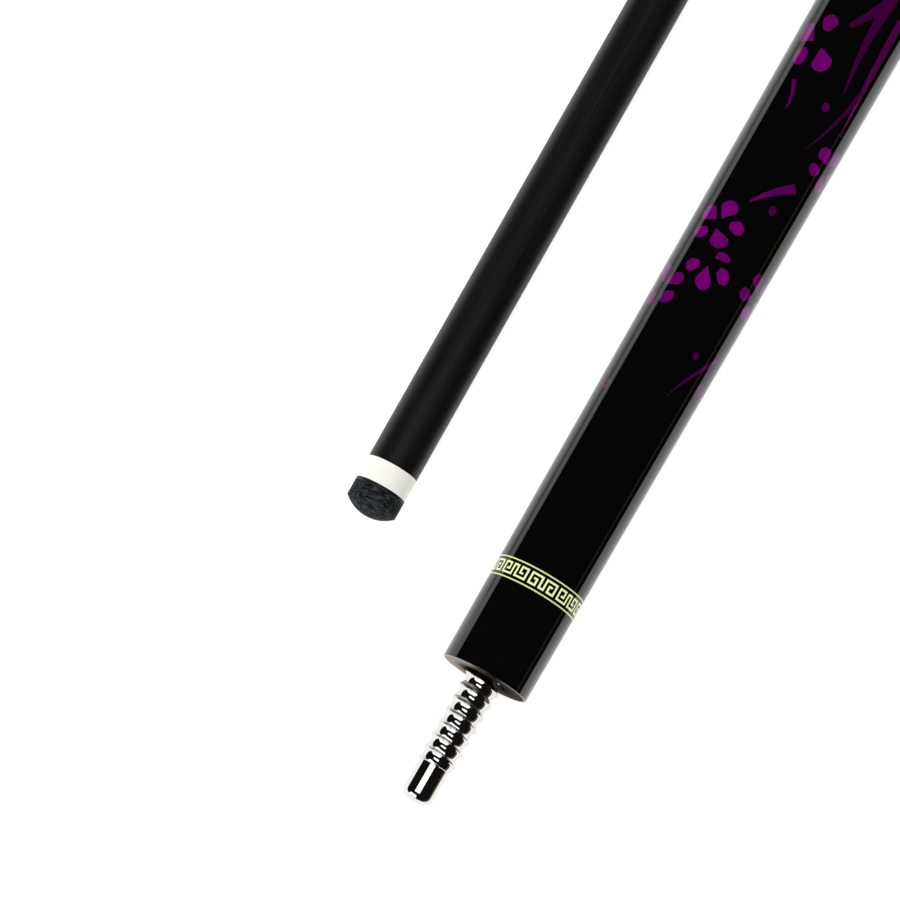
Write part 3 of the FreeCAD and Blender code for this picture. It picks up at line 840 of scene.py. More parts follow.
@dataclass(frozen=True)
class InlaidLine(PolishedResin):
    """A pale green line in black resin, a little narrower than the ring that carries it."""

    line_colour: str = "#dfea9a"
    width: float = 0.32
    soft: float = 0.02  # half the width of its soft edge
    middle: float = 0.0  # station of its middle

    def fitted(self, span: Span) -> "InlaidLine":
        """This line in the middle of a ring's width."""
        return replace(self, middle=span.middle / MM)

    def dress(self, sheet: Sheet) -> None:
        """Colours what lies within half the line's width of its middle."""
        super().dress(sheet)
        offset = sheet.number("SUBTRACT", sheet.on_half("Station"), self.middle)
        mask = sheet.inside(sheet.number("ABSOLUTE", offset), self.width / 2, self.soft)
        sheet.feed("Base Color", sheet.blend(mask, self.colour, self.line_colour))


@dataclass(frozen=True)
class TurnedMetal(Finish):
    """Metal turned on a lathe: concentric tool marks that drag a reflection out across them."""

    mark: float = 0.16  # between tool marks, coarser than real ones so that they show
    depth: float = 0.0012  # of a mark
    smear: float = 2.5  # grain of the uneven polish

    def dress(self, sheet: Sheet) -> None:
        """Lays rings of uneven depth around the axis, on the skin and on the end faces alike."""
        reach = add(sheet.tree, "CombineXYZ", [sheet.on_half("Radius"), 0.0, sheet.on_half("Station")])
        sheet.emboss(sheet.noise((self.mark, 1.0, self.mark), 3.0, reach), self.depth)
        sheet.polish(sheet.noise((self.smear,) * 3), self.roughness, 0.75, 1.3)


@dataclass(frozen=True)
class FacedMetal(TurnedMetal):
    """The joint's faced end: a painted highlight lies on one side, and painted shade darkens it towards the pin."""

    painted_shade_colour: str = "#38322f"  # colour of the painted shade where it is darkest
    full_shade_radius: float = 4.8  # radius within which the painted shade is darkest
    unshaded_radius: float = 8.8  # radius beyond which there is no painted shade
    shaded_share: float = 0.2  # share of the unshaded colour where the painted shade is darkest
    fan: float = math.radians(-95)  # angle of the side painted lighter as a highlight
    lit_side_fade: tuple[float, float] = (-0.5, 0.9)  # cosines from that side between which the painted highlight fades
    unlit: float = 0.3  # share of the unshaded colour on the other side, painted darker as shade

    def dress(self, sheet: Sheet) -> None:
        """Paints shade inwards and away from the painted highlight's side, seen straight on and seen along it."""
        super().dress(sheet)
        # Painted highlight: the side at the fan's angle is lighter and the far side darker, standing in for light
        # falling from one side
        aside = sheet.number("SUBTRACT", sheet.on_half("Angle"), self.fan)
        side = sheet.ramp(sheet.number("COSINE", aside), *self.lit_side_fade, self.unlit)
        # Painted shade: the metal is darker towards the pin, standing in for the shadowed floor that the plate mirrors
        # there
        shade_by_radius = sheet.ramp(sheet.on_half("Radius"), self.full_shade_radius, self.unshaded_radius, self.shaded_share)
        tone = sheet.blend(sheet.number("MULTIPLY", side, shade_by_radius), self.painted_shade_colour, self.colour)
        sheet.feed("Base Color", tone)
        sheet.feed("Specular Tint", tone)


@dataclass(frozen=True)
class Mottled(Finish):
    """A finish whose colour goes over into a second one with a noise."""

    second: str = "#ffffff"
    grain: tuple[float, float, float] = (0.6, 0.6, 0.6)  # of the noise, across, up and along the half
    detail: float = 3.0  # octaves of finer noise
    shown: tuple[float, float] = (0.35, 0.68)  # the noise at which the second colour starts to show and is full
    most: float = 1.0  # share of it at most
    depth: float = 0.01  # how deep the noise is in the surface

    def mottle(self, sheet: Sheet, place: Value = None) -> Value:
        """Mixes the colours by the noise at a place, or at the place on the half, and returns the noise."""
        pattern = sheet.noise(self.grain, self.detail, place)
        share = sheet.ramp(pattern, *self.shown, 0.0, self.most)
        sheet.feed("Base Color", sheet.blend(share, self.colour, self.second))
        return pattern

    def dress(self, sheet: Sheet) -> None:
        """Mottles the colour and raises the surface with it."""
        sheet.emboss(self.mottle(sheet), self.depth)


@dataclass(frozen=True)
class SpeckledCast(Mottled):
    """A cast, foamed or grown filling: a plain colour with a fine uneven grain."""


@dataclass(frozen=True)
class UnidirectionalCarbon(Mottled):
    """Carbon fibre tube, roll-wrapped, cured and sanded to a satin finish.

    It gives the eye a soft broad sheen, and fine fibres that run along the tube.
    """

    second: str = "#131110"
    grain: tuple[float, float, float] = (0.3, 0.3, 30.0)
    shown: tuple[float, float] = (0.35, 0.7)
    depth: float = 0.004

    def dress(self, sheet: Sheet) -> None:
        """Streaks the colour, the roughness and the surface along the tube."""
        streaks = self.mottle(sheet)
        sheet.polish(streaks, self.roughness, 0.92, 1.1)
        sheet.emboss(streaks, self.depth)


@dataclass(frozen=True)
class LayeredLeather(Mottled):
    """Pigskin layers glued, pressed and turned into a tip: a fuzzy dark blue-grey with fine level layers."""

    second: str = "#40464c"
    grain: tuple[float, float, float] = (2.2, 0.5, 0.18)
    shown: tuple[float, float] = (0.45, 0.68)
    depth: float = 0.09
    layer: float = 0.55  # thickness of a layer
    fuzz: tuple[float, float, float] = (0.9, 0.9, 0.22)  # grain of its fibres
    waver: float = 0.5  # how far they push a layer aside
    swell: float = 0.25  # how far a layer swells, as a share of the fibres' depth

    def dress(self, sheet: Sheet) -> None:
        """Draws the layers as bands across the axis, broken up by fibres, and scuffs them."""
        self.mottle(sheet)
        fuzz = sheet.noise(self.fuzz, 4.0)
        wobble = sheet.number("MULTIPLY_ADD", fuzz, self.waver, sheet.on_half("Station"))
        band = sheet.number("SINE", sheet.number("MULTIPLY", wobble, TURN / self.layer))
        sheet.emboss(sheet.number("MULTIPLY_ADD", band, self.swell, fuzz), self.depth)


@dataclass(frozen=True)
class PressedLinen(Mottled):
    """Linen thread wound round the handle, sized and pressed flat: black with white flecks spun into it."""

    second: str = "#b9b7b0"
    grain: tuple[float, float, float] = (3.2, 3.2, 0.9)
    shown: tuple[float, float] = (0.56, 0.62)
    depth: float = 0.05
    thread: float = 0.62  # between neighbouring turns, a little coarser than real
    fibre: float = 0.25  # grain of its fibres
    swell: float = 0.5  # how far a turn swells, as a share of the fibres' depth

    def dress(self, sheet: Sheet) -> None:
        """Winds the thread as a helix, and breaks its colour up along its own length."""
        turns = sheet.number("MULTIPLY", sheet.on_half("Angle"), 1 / TURN)
        count = sheet.number("MULTIPLY_ADD", sheet.on_half("Station"), 1 / self.thread, turns)
        wave = sheet.number("SINE", sheet.number("MULTIPLY", count, TURN))
        strand = sheet.number("FLOOR", sheet.number("SUBTRACT", count, turns))
        shift = add(sheet.tree, "CombineXYZ", [0.0, 0.0, strand])
        self.mottle(sheet, sheet.vector("ADD", sheet.on_half("Place"), shift))
        height = sheet.number("MULTIPLY_ADD", wave, self.swell, sheet.noise((self.fibre,) * 3))
        sheet.emboss(height, self.depth)


@dataclass(frozen=True)
class MouldedRubber(Mottled):
    """Rubber or vulcanised fibre, moulded: a dull black with a fine pebbled skin and a little dust."""

    second: str = "#3a3836"
    grain: tuple[float, float, float] = (2.5, 2.5, 2.5)
    detail: float = 2.0
    shown: tuple[float, float] = (0.4, 0.75)
    most: float = 0.2
    depth: float = 0.035
    pebble: float = 0.35  # grain of the skin

    def dress(self, sheet: Sheet) -> None:
        """Pebbles the skin and dusts it unevenly."""
        self.mottle(sheet)
        sheet.emboss(sheet.noise((self.pebble,) * 3), self.depth)


# What each of the record's slots is made of
FINISHES: dict[str, Finish] = {
    "black_lacquered_wood": GlossLacquer("gloss_black_lacquer_over_print", "#060505", 0.02),
    "black_resin": PolishedResin("polished_black_resin", "#060606", 0.03),
    "key_band": KeyPattern("polished_resin_with_key_print", "#060606", 0.03),
    "pale_green_line": InlaidLine("polished_resin_with_green_line", "#060606", 0.03),
    "mirror_steel": TurnedMetal("polished_stainless_steel", "#dad8d4", 0.05, 1.0, mark=0.3, depth=0.0002),
    # The faced end carries a painted highlight and painted shade in its colour
    "turned_steel": FacedMetal("faced_stainless_steel", "#bdb4ac", 0.34, 1.0),
    "plain_steel": TurnedMetal("machined_steel", "#a3a2a0", 0.32, 1.0, mark=0.3, depth=0.003),
    "brass": TurnedMetal("machined_brass", "#d8b35e", 0.25, 1.0, mark=0.25, depth=0.002),
    "maple_core": SpeckledCast("turned_maple", "#d9b98c", 0.5, second="#c29b68", grain=(0.5, 0.5, 14.0)),
    "plug_wood": SpeckledCast("turned_hard_maple", "#c9a474", 0.45, second="#a87f4e", grain=(0.5, 0.5, 10.0)),
    "linen": PressedLinen("pressed_irish_linen", "#0b0b0b", 0.55),
    "bumper_rubber": MouldedRubber("moulded_rubber", "#141414", 0.6),
    "vulcanised_fibre": MouldedRubber("vulcanised_fibre", "#0c0c0d", 0.5, pebble=0.5, depth=0.008),
    "tip_leather": LayeredLeather("pressed_layered_pigskin", "#060607", 0.75, ior=1.25),
    "white_resin": SpeckledCast("polished_white_resin", "#f8f7f1", 0.22, second="#f4f3eb", grain=(0.8, 0.8, 0.8)),
    "carbon_tube": UnidirectionalCarbon("satin_unidirectional_carbon", "#080707", 0.42, ior=1.4),
    "tenon_resin": SpeckledCast("moulded_composite", "#3a3b3d", 0.5, second="#4b4c4e"),
    "foam": SpeckledCast("expanding_foam", "#e6dcc2", 0.9, second="#d2c6a6", grain=(1.2, 1.2, 1.2)),
}


class Wardrobe:
    """Makes each material once for each half, and dresses pieces and CAD nodes in them."""

    def __init__(self, halves: Sequence[Half]) -> None:
        """Makes the axis groups of these halves."""
        self.axes = {half.name: make_axis_group(half) for half in halves}
        self.made: dict[tuple[str, str], bpy.types.Material] = {}

    def material(self, half: Half, finish: Finish) -> bpy.types.Material:
        """The material of a finish on a half, made when it is first asked for."""
        key = (half.name, repr(finish))
        if key not in self.made:
            self.made[key] = finish.material(self.axes[half.name])
        return self.made[key]

    def stand_in(self, piece: bpy.types.Object, half: Half, node: str, finish: Finish | None = None) -> None:
        """Puts a piece in the place of a CAD node.

        Args:
            piece: the new piece.
            half: the half that it is on.
            node: the CAD node that it stands for, whose body and slot it takes.
            finish: its finish, or None for the slot's own.
        """
        piece.data.materials.append(self.material(half, finish or FINISHES[slot_of(node)]))
        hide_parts(node)
        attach(piece, body_of(node))
        log.info("%s: %d faces, stands for %s", piece.name, len(piece.data.polygons), node)

    def dress_node(self, node: str, half: Half) -> None:
        """Gives a CAD node that stays the finish of its slot."""
        made = self.material(half, FINISHES[slot_of(node)])
        for slot in frame["nodes"][node].material_slots:
            slot.material = made
        log.info("%s: CAD node in %s", node, made.name)


# ------------------------------------------------------------------------------------------------------- sub-assemblies


@dataclass
class Assembly:
    """A sub-assembly on one half."""

    half: Half

    def put(self, wardrobe: Wardrobe, name: str, node: str, corners: Sequence[Corner] | None = None,
            closed: bool = True, columns: int = COLUMNS, arc_steps: int = 5, finish: Finish | None = None) -> None:
        """Turns a section into a piece that stands for a CAD node.

        Args:
            wardrobe: where the finishes come from.
            name: name of the piece.
            node: the CAD node.
            corners: corners of its section, or None for a plain ring over the node's span.
            closed: True for a ring, False for a section that starts and ends on the axis.
            columns: columns around the axis.
            arc_steps: straight pieces in a rounded corner.
            finish: its finish, or None for the slot's own.
        """
        outline = eased_outline(corners or ring_corners(self.half.span(node)), closed, arc_steps)
        wardrobe.stand_in(turned(name, self.half, outline, columns), self.half, node, finish)


@dataclass
class JointPin(Assembly):
    """The stainless radial pin: a round-bottomed right-hand thread, a plain pilot and a rounded nose."""

    face: float  # station of the joint face
    recess: float = 4.5 * MM  # how far the thread starts behind it
    thread: float = 22.86 * MM  # its length in front of it
    crest: float = 4.55 * MM  # radius over the crests
    depth: float = 0.725 * MM  # of the groove
    pitch: float = 3.175 * MM  # between neighbouring crests
    flat: float = 0.2 * MM  # width of a crest
    pilot: float = 3.75 * MM  # radius
    step: float = 0.35 * MM  # length of the cone down to the pilot
    nose: float = 2.3 * MM  # radius of its rounding
    dome: float = 0.12 * MM  # how far the nose's middle stands out
    first_crest: float = 2.07 * MM  # in front of the face, on the +Y side
    ease: float = 0.03 * MM  # how softly a crest's edges are rounded
    rows: float = 0.08 * MM  # between rows of the grid
    brink: float = 0.01 * MM  # over which the shank's end and its step turn

    def groove(self, station: np.ndarray, angle: np.ndarray) -> np.ndarray:
        """Radius of the threaded bar.

        The distance to the nearest groove's middle is the station less the angle's share of the pitch, folded into half
        a pitch. The groove is the arc through both crest edges and the root, and the crest's edge is eased.

        Args:
            station: stations in front of the face.
            angle: angles around the axis.

        Returns:
            The radius at each.
        """
        half_width = (self.pitch - self.flat) / 2
        bow = (half_width**2 + self.depth**2) / (2 * self.depth)
        middle = self.first_crest + self.pitch / 2
        lead = station - middle - self.pitch * (angle - math.pi / 2) / TURN
        offset = np.mod(lead + self.pitch / 2, self.pitch) - self.pitch / 2
        arc = self.crest - self.depth + bow - np.sqrt(np.maximum(bow**2 - offset**2, 0.0))
        return self.crest - self.ease * np.log1p(np.exp((self.crest - arc) / self.ease))

    def build(self, wardrobe: Wardrobe) -> None:
        """Makes the pin: its shank, its thread, its pilot and its nose are rows of one grid."""
        span = self.half.span("joint_pin")
        reach, shank = span.front - self.face, span.back - self.face
        shoulder = reach - self.dome - self.nose
        bar = np.arange(-self.recess, shoulder, self.rows)
        swing = np.linspace(0.0, math.pi / 2, 26)[1:]
        brim = self.pilot - self.nose
        spread = np.linspace(1.0, 0.0, 6)[1:]
        station = np.concatenate([
            [shank, shank + self.brink, -self.recess - self.brink],
            bar,
            shoulder + self.nose * np.sin(swing),
            reach - self.dome * spread**2,
        ])
        plain = np.concatenate([
            [0.0, self.pilot, self.pilot],
            np.interp(bar, [self.thread - self.step, self.thread], [self.crest, self.pilot]),
            brim + self.nose * np.cos(swing),
            brim * spread,
        ])
        angle = angles(COLUMNS)
        radius = np.minimum(plain[:, None], self.groove(station[:, None], angle))
        points = self.half.at(self.face + station[:, None], radius, angle)
        wardrobe.stand_in(capped("radial_joint_pin", self.half, points), self.half, "joint_pin")


@dataclass
class RingWork(Assembly):
    """A line, a band of key pattern and a line, let into a half."""

    nodes: str  # first part of its three nodes' names

    def build(self, wardrobe: Wardrobe) -> None:
        """Makes the two lines and the band between them."""
        for part in ("line_back", "line_front", "key_band"):
            node = f"{self.nodes}_{part}"
            finish = FINISHES[slot_of(node)].fitted(self.half.span(node))
            self.put(wardrobe, "inlaid_" + node, node, columns=FINE_COLUMNS, finish=finish)


@dataclass
class JointEnd(Assembly):
    """The butt's joint end: the collar, the end plate set in it, the ring work behind it and the pin."""

    rim: float = 0.16 * MM  # rounding of the collar's front edge
    plate_rim: float = 0.1 * MM  # rounding of the plate's edge
    hole: float = 4.9 * MM  # radius of the recess around the pin
    hole_depth: float = 4.5 * MM
    hole_rim: float = 0.5 * MM  # rounding of its mouth
    hole_foot: float = 0.3 * MM  # rounding of its bottom

    def build(self, wardrobe: Wardrobe) -> None:
        """Makes the collar, the plate, the ring work and the pin."""
        collar, plate = self.half.span("joint_collar"), self.half.span("joint_face_plate")
        self.put(wardrobe, "joint_collar_sleeve", "joint_collar", (
            Corner(collar.back, collar.back_bore), Corner(collar.back, collar.back_skin),
            Corner(collar.front, collar.front_skin, self.rim), Corner(collar.front, plate.front_skin),
            Corner(plate.back, plate.back_skin), Corner(plate.back, collar.back_bore),
        ), columns=FINE_COLUMNS)
        bottom = plate.front - self.hole_depth
        self.put(wardrobe, "joint_end_plate", "joint_face_plate", (
            Corner(plate.back, plate.back_bore), Corner(plate.back, plate.back_skin),
            Corner(plate.front, plate.front_skin, self.plate_rim), Corner(plate.front, self.hole, self.hole_rim),
            Corner(bottom, self.hole, self.hole_foot), Corner(bottom, plate.back_bore),
        ), columns=FINE_COLUMNS)
        RingWork(self.half, "joint_ring").build(wardrobe)
        JointPin(self.half, plate.front).build(wardrobe)


@dataclass
class PrintedBarrel(Assembly):
    """A lacquered barrel with sprays of plum blossom printed under the lacquer."""

    node: str  # the CAD node that it stands for
    name: str
    sprays: Sequence[Spray]
    step: float = 0.5 * MM  # between rows of the grid
    columns: int = 176
    unprinted: float = 9.0  # distance in millimetres where no print is near

    def build(self, corners: Sequence[Corner], wardrobe: Wardrobe) -> None:
        """Makes the barrel, and writes each vertex's distance to the print and its ink down as attributes.

        Args:
            corners: corners of its section, which starts and ends on the axis.
            wardrobe: where the finishes come from.
        """
        piece = turned(self.name, self.half, divided(eased_outline(corners, False), self.step), self.columns)
        mesh = piece.data
        offset = vertices_of(mesh) - self.half.root
        up, across = offset @ self.half.up, offset @ self.half.across
        place = offset @ self.half.way, np.hypot(up, across), np.arctan2(across, up)
        nearest, ink = np.full(len(offset), self.unprinted), np.zeros(len(offset))
        for spray in self.sprays:
            spray.lay(*place, nearest, ink)
        for name, values in (("print_edge", nearest), ("print_ink", ink)):
            mesh.attributes.new(name, "FLOAT", "POINT").data.foreach_set("value", values.astype(np.float32))
        wardrobe.stand_in(piece, self.half, self.node)


def spray_at(station: float, degrees: float, growth: Growth) -> Spray:
    """The plum spray at a station, turned so many degrees from the top."""
    return Spray(station, math.radians(degrees), growth, PLUM_SPRAY)


@dataclass
class Forearm(Assembly):
    """The printed forearm between the wrap and the joint end, bored for a stud behind and for the pin in front."""

    behind_face: float = 95.0 * MM  # from the joint face back to the first spray's tip

    def build(self, wardrobe: Wardrobe) -> None:
        """Makes the forearm with two sprays from the joint end and two from the wrap."""
        span, stud, pin, collar, ring = (self.half.span(node) for node in (
            "forearm", "forearm_stud", "joint_pin", "joint_collar", "joint_ring_line_back"))
        tip = collar.front - self.behind_face
        sprays = (
            spray_at(tip, -18, Growth.BACKWARD),
            spray_at(tip - 14 * MM, 168, Growth.BACKWARD),
            spray_at(span.back + 8 * MM, 78, Growth.FORWARD),
            spray_at(span.back + 4 * MM, -104, Growth.FORWARD),
        )
        PrintedBarrel(self.half, "forearm", "printed_forearm", sprays).build((
            Corner(stud.front, 0.0), Corner(stud.front, stud.front_skin),
            Corner(span.back, stud.front_skin), Corner(span.back, span.back_skin),
            Corner(ring.back, ring.back_skin), Corner(ring.back, collar.back_bore),
            Corner(span.front, collar.back_bore), Corner(span.front, pin.back_skin),
            Corner(pin.back, pin.back_skin), Corner(pin.back, 0.0),
        ), wardrobe)


@dataclass
class Handle(Assembly):
    """The butt's handle: the wrap between its two ring works, the printed sleeve, the cap's ring and the cap."""

    edge: float = 0.1 * MM  # rounding of the wrap's and the cap ring's edges
    cap_rim: float = 1.2 * MM  # rounding of the cap's back edge

    def build(self, wardrobe: Wardrobe) -> None:
        """Makes the pieces from front to back."""
        self.put_ring(wardrobe, "handle_wrap", "linen_wrap")
        for nodes in ("wrap_back_ring", "wrap_front_ring"):
            RingWork(self.half, nodes).build(wardrobe)
        self.build_sleeve(wardrobe)
        self.put_ring(wardrobe, "butt_cap_ring", "cap_ring")
        cap, tube = self.half.span("butt_cap"), self.half.span("weight_tube")
        self.put(wardrobe, "butt_cap_resin", "butt_cap", (
            Corner(cap.back, cap.back_bore), Corner(cap.back, cap.back_skin, self.cap_rim),
            Corner(cap.front, cap.front_skin), Corner(cap.front, tube.back_skin),
            Corner(tube.back, tube.back_skin), Corner(tube.back, cap.back_bore),
        ), arc_steps=10)

    def put_ring(self, wardrobe: Wardrobe, name: str, node: str) -> None:
        """Makes a plain ring with both edges rounded."""
        self.put(wardrobe, name, node, ring_corners(self.half.span(node), self.edge, self.edge))

    def build_sleeve(self, wardrobe: Wardrobe) -> None:
        """Makes the sleeve, bored for the weight tube behind and for a stud in front, with two sprays."""
        span, tube, stud = (self.half.span(node) for node in ("butt_sleeve", "weight_tube", "sleeve_stud"))
        sprays = (
            spray_at(span.front - 6 * MM, -14, Growth.BACKWARD),
            spray_at(span.back + 6 * MM, 164, Growth.FORWARD),
        )
        PrintedBarrel(self.half, "butt_sleeve", "printed_sleeve", sprays).build((
            Corner(tube.front, 0.0), Corner(tube.front, tube.front_skin),
            Corner(span.back, tube.front_skin), Corner(span.back, span.back_skin),
            Corner(span.front, span.front_skin), Corner(span.front, stud.back_skin),
            Corner(stud.back, stud.back_skin), Corner(stud.back, 0.0),
        ), wardrobe)


@dataclass
class BumperSet(Assembly):
    """The rubber bumper, moulded over its stud's head, and the fibre washer under it."""

    radius: float = 13.0 * MM
    foot: float = 4.0 * MM  # rounding of its foot
    seat: float = 0.8 * MM  # rounding of its edge at the washer
    head: float = 2.4 * MM  # thickness of the stud's head
    washer_edge: float = 0.1 * MM

    def build(self, wardrobe: Wardrobe) -> None:
        """Makes the bumper and the washer."""
        bumper, stud = self.half.span("bumper"), self.half.span("bumper_stud")
        self.put(wardrobe, "rubber_bumper", "bumper", (
            Corner(bumper.back, 0.0), Corner(bumper.back, self.radius, self.foot),
            Corner(bumper.front, self.radius, self.seat), Corner(bumper.front, stud.front_skin),
            Corner(stud.back + self.head, stud.front_skin), Corner(stud.back + self.head, stud.back_skin),
            Corner(stud.back, stud.back_skin), Corner(stud.back, 0.0),
        ), closed=False, arc_steps=12)
        washer = ring_corners(self.half.span("bumper_washer"), self.washer_edge, self.washer_edge)
        self.put(wardrobe, "fibre_washer", "bumper_washer", washer)


@dataclass
class TipAndFerrule(Assembly):
    """The front of the shaft: layered leather tip, fibre pad and white ferrule."""

    dome: float = 9.0 * MM  # radius that the tip's top is struck with
    ripple: float = 0.04 * MM  # how far the pressed layers bulge
    layer: float = 0.55 * MM  # thickness of a layer
    edge: float = 0.06 * MM  # rounding of the pad's edges and of the ferrule's front edge
    tube_edge: float = 0.03 * MM  # rounding of the ferrule's edge at the tube

    def build(self, wardrobe: Wardrobe) -> None:
        """Makes the three pieces.

        The tip's side bulges by the square of a sine along its station, once a layer, and its top is the sphere's arc.
        """
        ferrule = ring_corners(self.half.span("ferrule"), self.tube_edge, self.edge)
        self.put(wardrobe, "resin_ferrule", "ferrule", ferrule, columns=FINE_COLUMNS)
        pad = ring_corners(self.half.span("tip_pad"), self.edge, self.edge)
        self.put(wardrobe, "fibre_pad", "tip_pad", pad, closed=False, columns=FINE_COLUMNS)

        tip = self.half.span("tip")
        skin = tip.back_skin
        brim = self.dome - math.sqrt(self.dome**2 - skin**2)
        side = np.linspace(0.0, tip.length - brim, 60)
        swell = self.ripple * (np.sin(math.pi * side / self.layer) ** 2 - 1.0)
        swing = np.linspace(math.asin(skin / self.dome), 0.0, 48)[1:]
        station = np.concatenate([[0.0], side, tip.length - self.dome + self.dome * np.cos(swing)])
        radius = np.concatenate([[0.0], skin + swell, self.dome * np.sin(swing)])
        points = self.half.at(tip.back + station[:, None], radius[:, None], angles(FINE_COLUMNS))
        wardrobe.stand_in(capped("layered_leather_tip", self.half, points), self.half, "tip")


@dataclass
class Shaft(Assembly):
    """The shaft: its tip end, and at its joint end the collar and the ring work. Its tube stays the CAD node."""

    rim: float = 0.16 * MM  # rounding of the collar's joint edge

    def build(self, wardrobe: Wardrobe) -> None:
        """Makes both ends."""
        TipAndFerrule(self.half).build(wardrobe)
        collar = ring_corners(self.half.span("shaft_collar"), self.rim)
        self.put(wardrobe, "shaft_joint_collar", "shaft_collar", collar, columns=FINE_COLUMNS)
        RingWork(self.half, "shaft_ring").build(wardrobe)


# ------------------------------------------------------------------------------------------------------------- studio


@dataclass(frozen=True)
class Lamp:
    """A soft studio lamp, with its places measured from below the joint face."""

    name: str
    place: tuple[float, float, float]  # its middle
    aim: tuple[float, float, float]  # the point that it faces
    size: tuple[float, float]  # along Y and upwards; for one that hangs overhead, along Y and along X
    glow: float  # radiance
    colour: str = "#ffffff"  # sRGB hex


@dataclass(frozen=True)
class Viewpoint:
    """Where the camera stands, measured from below the butt's joint face."""

    target: tuple[float, float] = (-0.0432, -0.0326)  # the point on the floor that it looks at
    tilt: float = math.radians(10.47)  # from straight above, towards the joint pin
    distance: float = 1.0  # from the target
    roll: float = math.radians(30.24)  # about its own view
    lens: float = 174.5  # focal length in millimetres
    sensor: float = 36.0  # width in millimetres
    clip: tuple[float, float] = (0.05, 50.0)


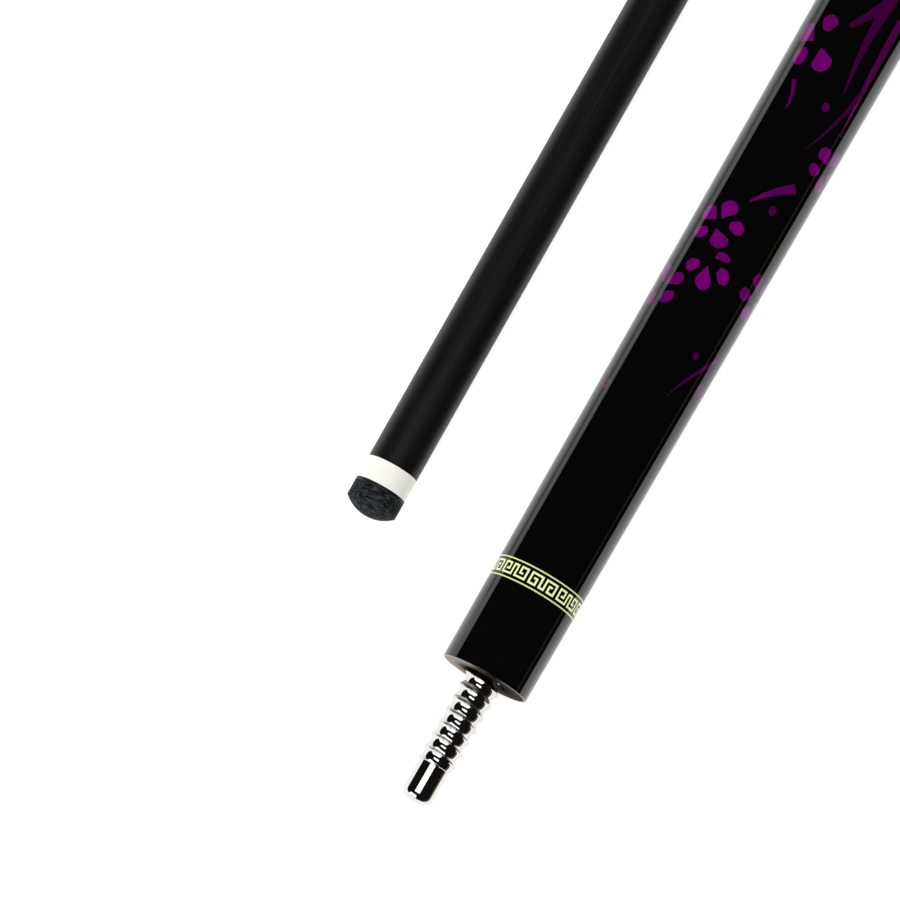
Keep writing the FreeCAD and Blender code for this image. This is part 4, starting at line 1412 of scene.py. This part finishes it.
@dataclass
class Studio:
    """The pale floor, the light and the camera.

    Two broad lamps stand beyond the ends of the cue, where its long polished skins can't mirror them. One hangs over
    the joint pin and the shaft's tip, and a low strip beside the butt is mirrored as a faint warm line.
    """

    butt: Half
    shaft: Half
    floor_reach: float = 4.0
    paper_colour: tuple[float, float, float, float] = (0.85, 0.85, 0.85, 1.0)
    camera_glow: float = 0.6  # the floor's own light to the camera: it stays white around the contact shadow
    mirror_glow: float = 0.4  # the same in reflections
    far_glow: float = 0.006  # the same beyond the white paper
    paper: float = 76.0  # how far to each side of a half it shows in a reflection, in millimetres
    paper_edge: float = 2.0  # how softly it ends there
    fill: float = 0.62  # light of the surroundings on what isn't mirrored
    mirror_fill: float = 0.008  # their light in reflections
    lamps: tuple[Lamp, ...] = (
        Lamp("lamp_front", (0.85, -0.45, 0.34), (0.0, -0.1, 0.0), (0.8, 0.62), 2.2),
        Lamp("lamp_back", (-1.15, -0.2, 0.5), (-0.2, -0.1, 0.0), (1.3, 0.9), 1.9),
        Lamp("lamp_overhead", (0.06, -0.125, 0.5), (0.06, -0.125, 0.0), (0.35, 0.2), 2.4),
        Lamp("lamp_edge", (-0.1, 0.42, 0.02), (-0.1, 0.0, 0.02), (1.6, 0.03), 0.6, "#c99877"),
    )
    view: Viewpoint = field(default_factory=Viewpoint)
    # pieces that mirrors leave out, so that each half looks as it does when lit alone
    unmirrored: tuple[str, ...] = (
        "shaft_tube", "foam_core", "tenon_plug", "resin_ferrule", "fibre_pad", "layered_leather_tip")

    def build(self, wardrobe: Wardrobe) -> None:
        """Lays the floor, lights it and sets the camera."""
        face = self.butt.at(self.butt.span("joint_face_plate").front, np.array(0.0), np.array(0.0))
        self.home = np.array([face[0], face[1], 0.0])
        self.lay_floor(wardrobe)
        self.light_world()
        for lamp in self.lamps:
            self.hang(lamp)
        self.set_camera()

    def lay_floor(self, wardrobe: Wardrobe) -> None:
        """Makes a floor whose white shows to the camera and, near the halves, in reflections; it keeps the shadow."""
        reach = self.floor_reach
        mesh = bpy.data.meshes.new("floor")
        corners = [(-reach, -reach, 0.0), (reach, -reach, 0.0), (reach, reach, 0.0), (-reach, reach, 0.0)]
        mesh.from_pydata(corners, [], [(0, 1, 2, 3)])
        floor = bpy.data.objects.new("floor", mesh)
        bpy.context.scene.collection.objects.link(floor)

        made = bpy.data.materials.new("white_paper_sweep")
        tree = blank_tree(made)
        sheet = Sheet(tree)
        gaps = []
        for half in (self.butt, self.shaft):
            axis = add(tree, "Group", node_tree=wardrobe.axes[half.name])
            across = add(tree, "SeparateXYZ", [axis.outputs["Place"]]).outputs[0]
            gaps.append(sheet.number("ABSOLUTE", across))
        gap = sheet.number("MINIMUM", *gaps)
        far = sheet.ramp(gap, self.paper - self.paper_edge, self.paper + self.paper_edge)
        glossy = add(tree, "LightPath").outputs["Is Glossy Ray"]
        hidden = sheet.number("MULTIPLY", far, glossy)
        strength = add(tree, "MapRange", [glossy, 0.0, 1.0, self.camera_glow, self.mirror_glow])
        near, dark = (
            add(tree, "Emission", {"Color": WHITE, "Strength": light}) for light in (strength, self.far_glow))
        paper = add(tree, "AddShader", [add(tree, "BsdfDiffuse", {"Color": self.paper_colour}), near])
        add(tree, "OutputMaterial", [add(tree, "MixShader", [hidden, paper, dark])])
        mesh.materials.append(made)

    def clear_mirrors(self) -> None:
        """Leaves the shaft's front pieces out of reflections, once they are there."""
        pieces = {**bpy.data.objects, **frame["nodes"]}
        for name in self.unmirrored:
            pieces[name].visible_glossy = False

    def light_world(self) -> None:
        """White to the camera, dark in reflections, and a soft fill otherwise."""
        world = bpy.data.worlds.new("studio")
        tree = blank_tree(world)
        path = add(tree, "LightPath")
        fill = add(tree, "MapRange", [path.outputs["Is Glossy Ray"], 0.0, 1.0, self.fill, self.mirror_fill])
        seen = Sheet(tree).number("MAXIMUM", fill, path.outputs["Is Camera Ray"])
        add(tree, "OutputWorld", [add(tree, "Background", {"Color": WHITE, "Strength": seen})])
        bpy.context.scene.world = world

    def hang(self, lamp: Lamp) -> None:
        """Hangs a lamp and turns it to what it faces; its power is its radiance over its area and half sphere."""
        light = bpy.data.lights.new(lamp.name, "AREA")
        light.shape = "RECTANGLE"
        light.size, light.size_y = lamp.size
        light.energy = lamp.glow * math.pi * lamp.size[0] * lamp.size[1]
        light.color = linear(lamp.colour)[:3]
        made = bpy.data.objects.new(lamp.name, light)
        place = self.home + lamp.place
        back = unit(place - (self.home + lamp.aim))
        mostly_sideways = abs(back[1]) >= 0.9
        side = np.array([1.0, 0.0, 0.0] if mostly_sideways else [0.0, 1.0, 0.0])
        made.matrix_world = placed(side, np.cross(back, side), back, place)
        made.visible_camera = False
        bpy.context.scene.collection.objects.link(made)

    def set_camera(self) -> None:
        """Sets the camera: it leans towards the pin and is rolled about its view."""
        view = self.view
        back = unit(np.array([math.tan(view.tilt), 0.0, 1.0]))
        away = np.array([-1.0, 0.0, 0.0])
        top = unit(away - back * (away @ back))
        right = np.cross(top, back)
        cos, sin = math.cos(view.roll), math.sin(view.roll)
        place = self.home + np.array([*view.target, 0.0]) + back * view.distance
        camera = bpy.data.objects.new("camera", bpy.data.cameras.new("camera"))
        camera.data.lens, camera.data.sensor_width = view.lens, view.sensor
        camera.data.clip_start, camera.data.clip_end = view.clip
        camera.matrix_world = placed(cos * right + sin * top, cos * top - sin * right, back, place)
        bpy.context.scene.collection.objects.link(camera)
        bpy.context.scene.camera = camera


def placed(right: np.ndarray, top: np.ndarray, back: np.ndarray, place: np.ndarray) -> Matrix:
    """World matrix of an object with these axes at this place."""
    matrix = np.eye(4)
    matrix[:3] = np.stack([right, top, back, place], axis=1)
    return Matrix(matrix.tolist())


# --------------------------------------------------------------------------------------------------------------- main


def main() -> None:
    """Builds the studio and each sub-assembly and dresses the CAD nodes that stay."""
    logging.basicConfig(level=logging.INFO, format="%(name)s: %(message)s")
    butt, shaft = read_halves()
    wardrobe = Wardrobe((butt, shaft))
    studio = Studio(butt, shaft)
    studio.build(wardrobe)
    for assembly in (JointEnd(butt), Forearm(butt), Handle(butt), BumperSet(butt), Shaft(shaft)):
        log.info("%s", type(assembly).__name__)
        assembly.build(wardrobe)

    on_shaft = {body_of("shaft_tube"), body_of("foam_core")}
    for node, shown in frame["nodes"].items():
        if not shown.hide_render:
            wardrobe.dress_node(node, shaft if body_of(node) in on_shaft else butt)
    studio.clear_mirrors()

    bpy.context.scene.view_settings.view_transform = "Standard"


if __name__ == "__main__":
    main()
